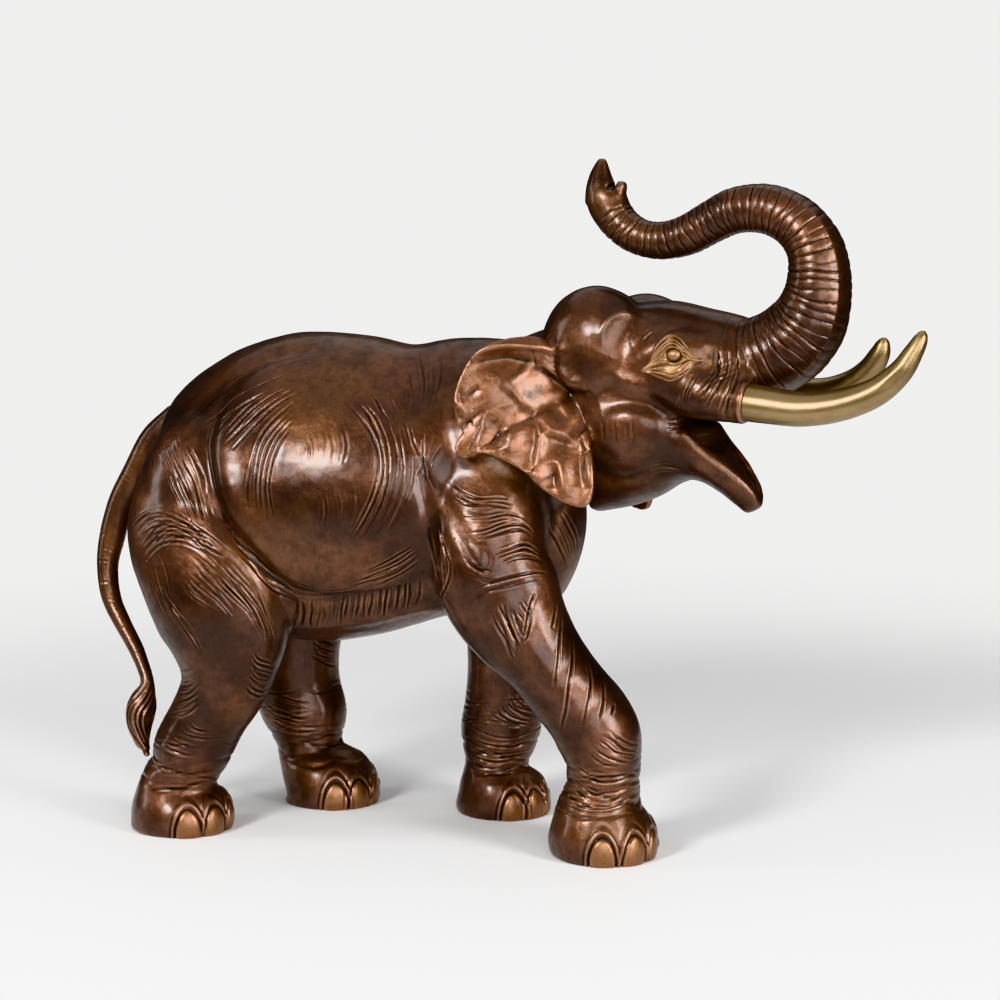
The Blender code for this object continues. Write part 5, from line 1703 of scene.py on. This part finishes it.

# %% [markdown]
# ## Bronze
# The patina is a thin brown skin over metal: nearly black in the strokes, red-brown on the broad forms and
# copper where it is rubbed. The black of the strokes and the dark of the folds are partly painted shade, and
# the hollow of the mouth is painted near black as painted shade. The painted numbers pick the colour, cloudy
# noise breaks it up, and the same numbers make worn crests smoother than the rest. The ears and toenails were
# burnished more than the body. The colour is built in layers, as a patina is, and each covers only its own
# share of what is below it.

# %% Patina
bronze = Finish("patinated bronze", 1.0, 0.34, coat_roughness=0.20)
fine, broad = bronze.painted("fine"), bronze.painted("broad")
ears, shaded_mouth = bronze.painted("ears"), bronze.painted("shaded_mouth")
stroke_patina_and_shade = bronze.between(-1 * fine, 0.05, 0.8)
on_crest = bronze.between(fine, 0.10, 0.9)
on_muscle = bronze.between(broad, 0.05, 1.0)
fold_patina_and_shade = bronze.between(-1 * broad, 0.05, 0.9)
clouds = bronze.between(bronze.noise(0.075, 5.0, 0.6), 0.36, 0.66)
warm = bronze.between(bronze.noise(0.110, 4.0, 0.55), 0.50, 0.66)
mottle = bronze.between(bronze.noise(0.010, 5.0, 0.65), 0.42, 0.66)
specks = bronze.between(bronze.noise(0.0032, 2.0, 0.5), 0.64, 0.74)
scratches = bronze.between(bronze.noise(0.0035, 4.0, 0.6, (1.0, 1.0, 0.16)), 0.56, 0.70)
LAYERS = [
    # share, colour
    (warm * 0.5, (0.185, 0.089, 0.044)),
    (mottle * 0.45, (0.036, 0.017, 0.011)),
    (ears * (0.75 - mottle * 0.50), (0.250, 0.112, 0.060)),
    (on_muscle * 0.35, (0.265, 0.135, 0.080)),
    (on_crest * 0.45, (0.420, 0.220, 0.135)),
    # partly dark patina, partly painted shade: the broad folds and hollows are darkened
    (fold_patina_and_shade * 0.70, (0.020, 0.010, 0.007)),
    # partly dark patina, partly painted shade: the strokes are darkened to near black
    (stroke_patina_and_shade * 0.92, (0.010, 0.005, 0.004)),
    (bronze.painted("band") * 0.5, (0.040, 0.018, 0.011)),
    (bronze.painted("nails") * (0.50 - stroke_patina_and_shade * 0.4), (0.350, 0.168, 0.078)),
    (bronze.painted("eyes") * (0.85 - stroke_patina_and_shade * 0.8), (0.340, 0.190, 0.090)),
    # painted shade: the hollow of the mouth is painted near black
    (shaded_mouth * 0.90, (0.014, 0.008, 0.005)),
    (specks * 0.55, (0.014, 0.008, 0.006)),
    (scratches * 0.25, (0.020, 0.010, 0.007)),
]
colour = bronze.mixed(clouds, (0.048, 0.025, 0.018), (0.142, 0.065, 0.039))
for share, tint in LAYERS:
    colour = bronze.mixed(share, colour, tint)
bronze.set("Base Color", colour)
rough = 0.30 + shaded_mouth * 0.2 + bronze.noise(0.012, 5.0, 0.7) * 0.20 + mottle * 0.10
bronze.set("Roughness", rough - on_crest * 0.08 + stroke_patina_and_shade * 0.3 + fold_patina_and_shade * 0.15)
bronze.set("Coat Weight", 0.5 - shaded_mouth * 0.45)
grain = bronze.bump(bronze.noise(0.0014, 3.0, 0.7), 0.0003, 0.55)
scored = bronze.bump(1 - scratches, 0.0003, 0.35, grain)
hammer = bronze.bump(bronze.noise(0.011, 4.0, 0.6), 0.0020, 0.38, scored)
bronze.set("Normal", hammer)
print(len(bronze.tree.nodes), "nodes")

# %% [markdown]
# Brass tarnishes to olive. Long streaks and small spots vary it along the tusk, and the bump under the polish
# is shallow, so that the highlights stay long.

# %% Brass
brass = Finish("olive brass", 1.0, 0.38, coat=0.4, coat_roughness=0.10)
streaks = brass.between(brass.noise(0.05, 4.0, 0.5, (0.3, 1.0, 1.0)), 0.35, 0.70)
spots = brass.between(brass.noise(0.008, 4.0, 0.6), 0.45, 0.75)
colour = brass.mixed(streaks, (0.290, 0.205, 0.104), (0.190, 0.132, 0.064))
colour = brass.mixed(spots * 0.3, colour, (0.180, 0.110, 0.052))
brass.set("Base Color", colour)
brass.set("Roughness", 0.36 + spots * 0.16)
brass.set("Normal", brass.bump(brass.noise(0.010, 3.0, 0.5), 0.0008, 0.20))
print(len(brass.tree.nodes), "nodes")

# %% [markdown]
# ## Pieces on the body
# Every piece rides on the one body, hides the solid that it stands for and takes its finish. The two boxes
# are printed, so that the dressed piece can be compared with the solids.

# %% Pieces on the frame
for piece in bronze_pieces:
    piece.data.materials.append(bronze.material)
    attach(piece, "root")
    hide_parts("elephant_casting")
for piece, node in zip(brass_pieces, ("tusk_right", "tusk_left")):
    piece.data.materials.append(brass.material)
    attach(piece, "root")
    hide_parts(node)
dressed_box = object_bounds()
boxes = {"solids": [list(corner) for corner in cad_box], "dressed": [list(corner) for corner in dressed_box]}
for label, corners in boxes.items():
    print(label, [[round(value, 4) for value in corner] for corner in corners])
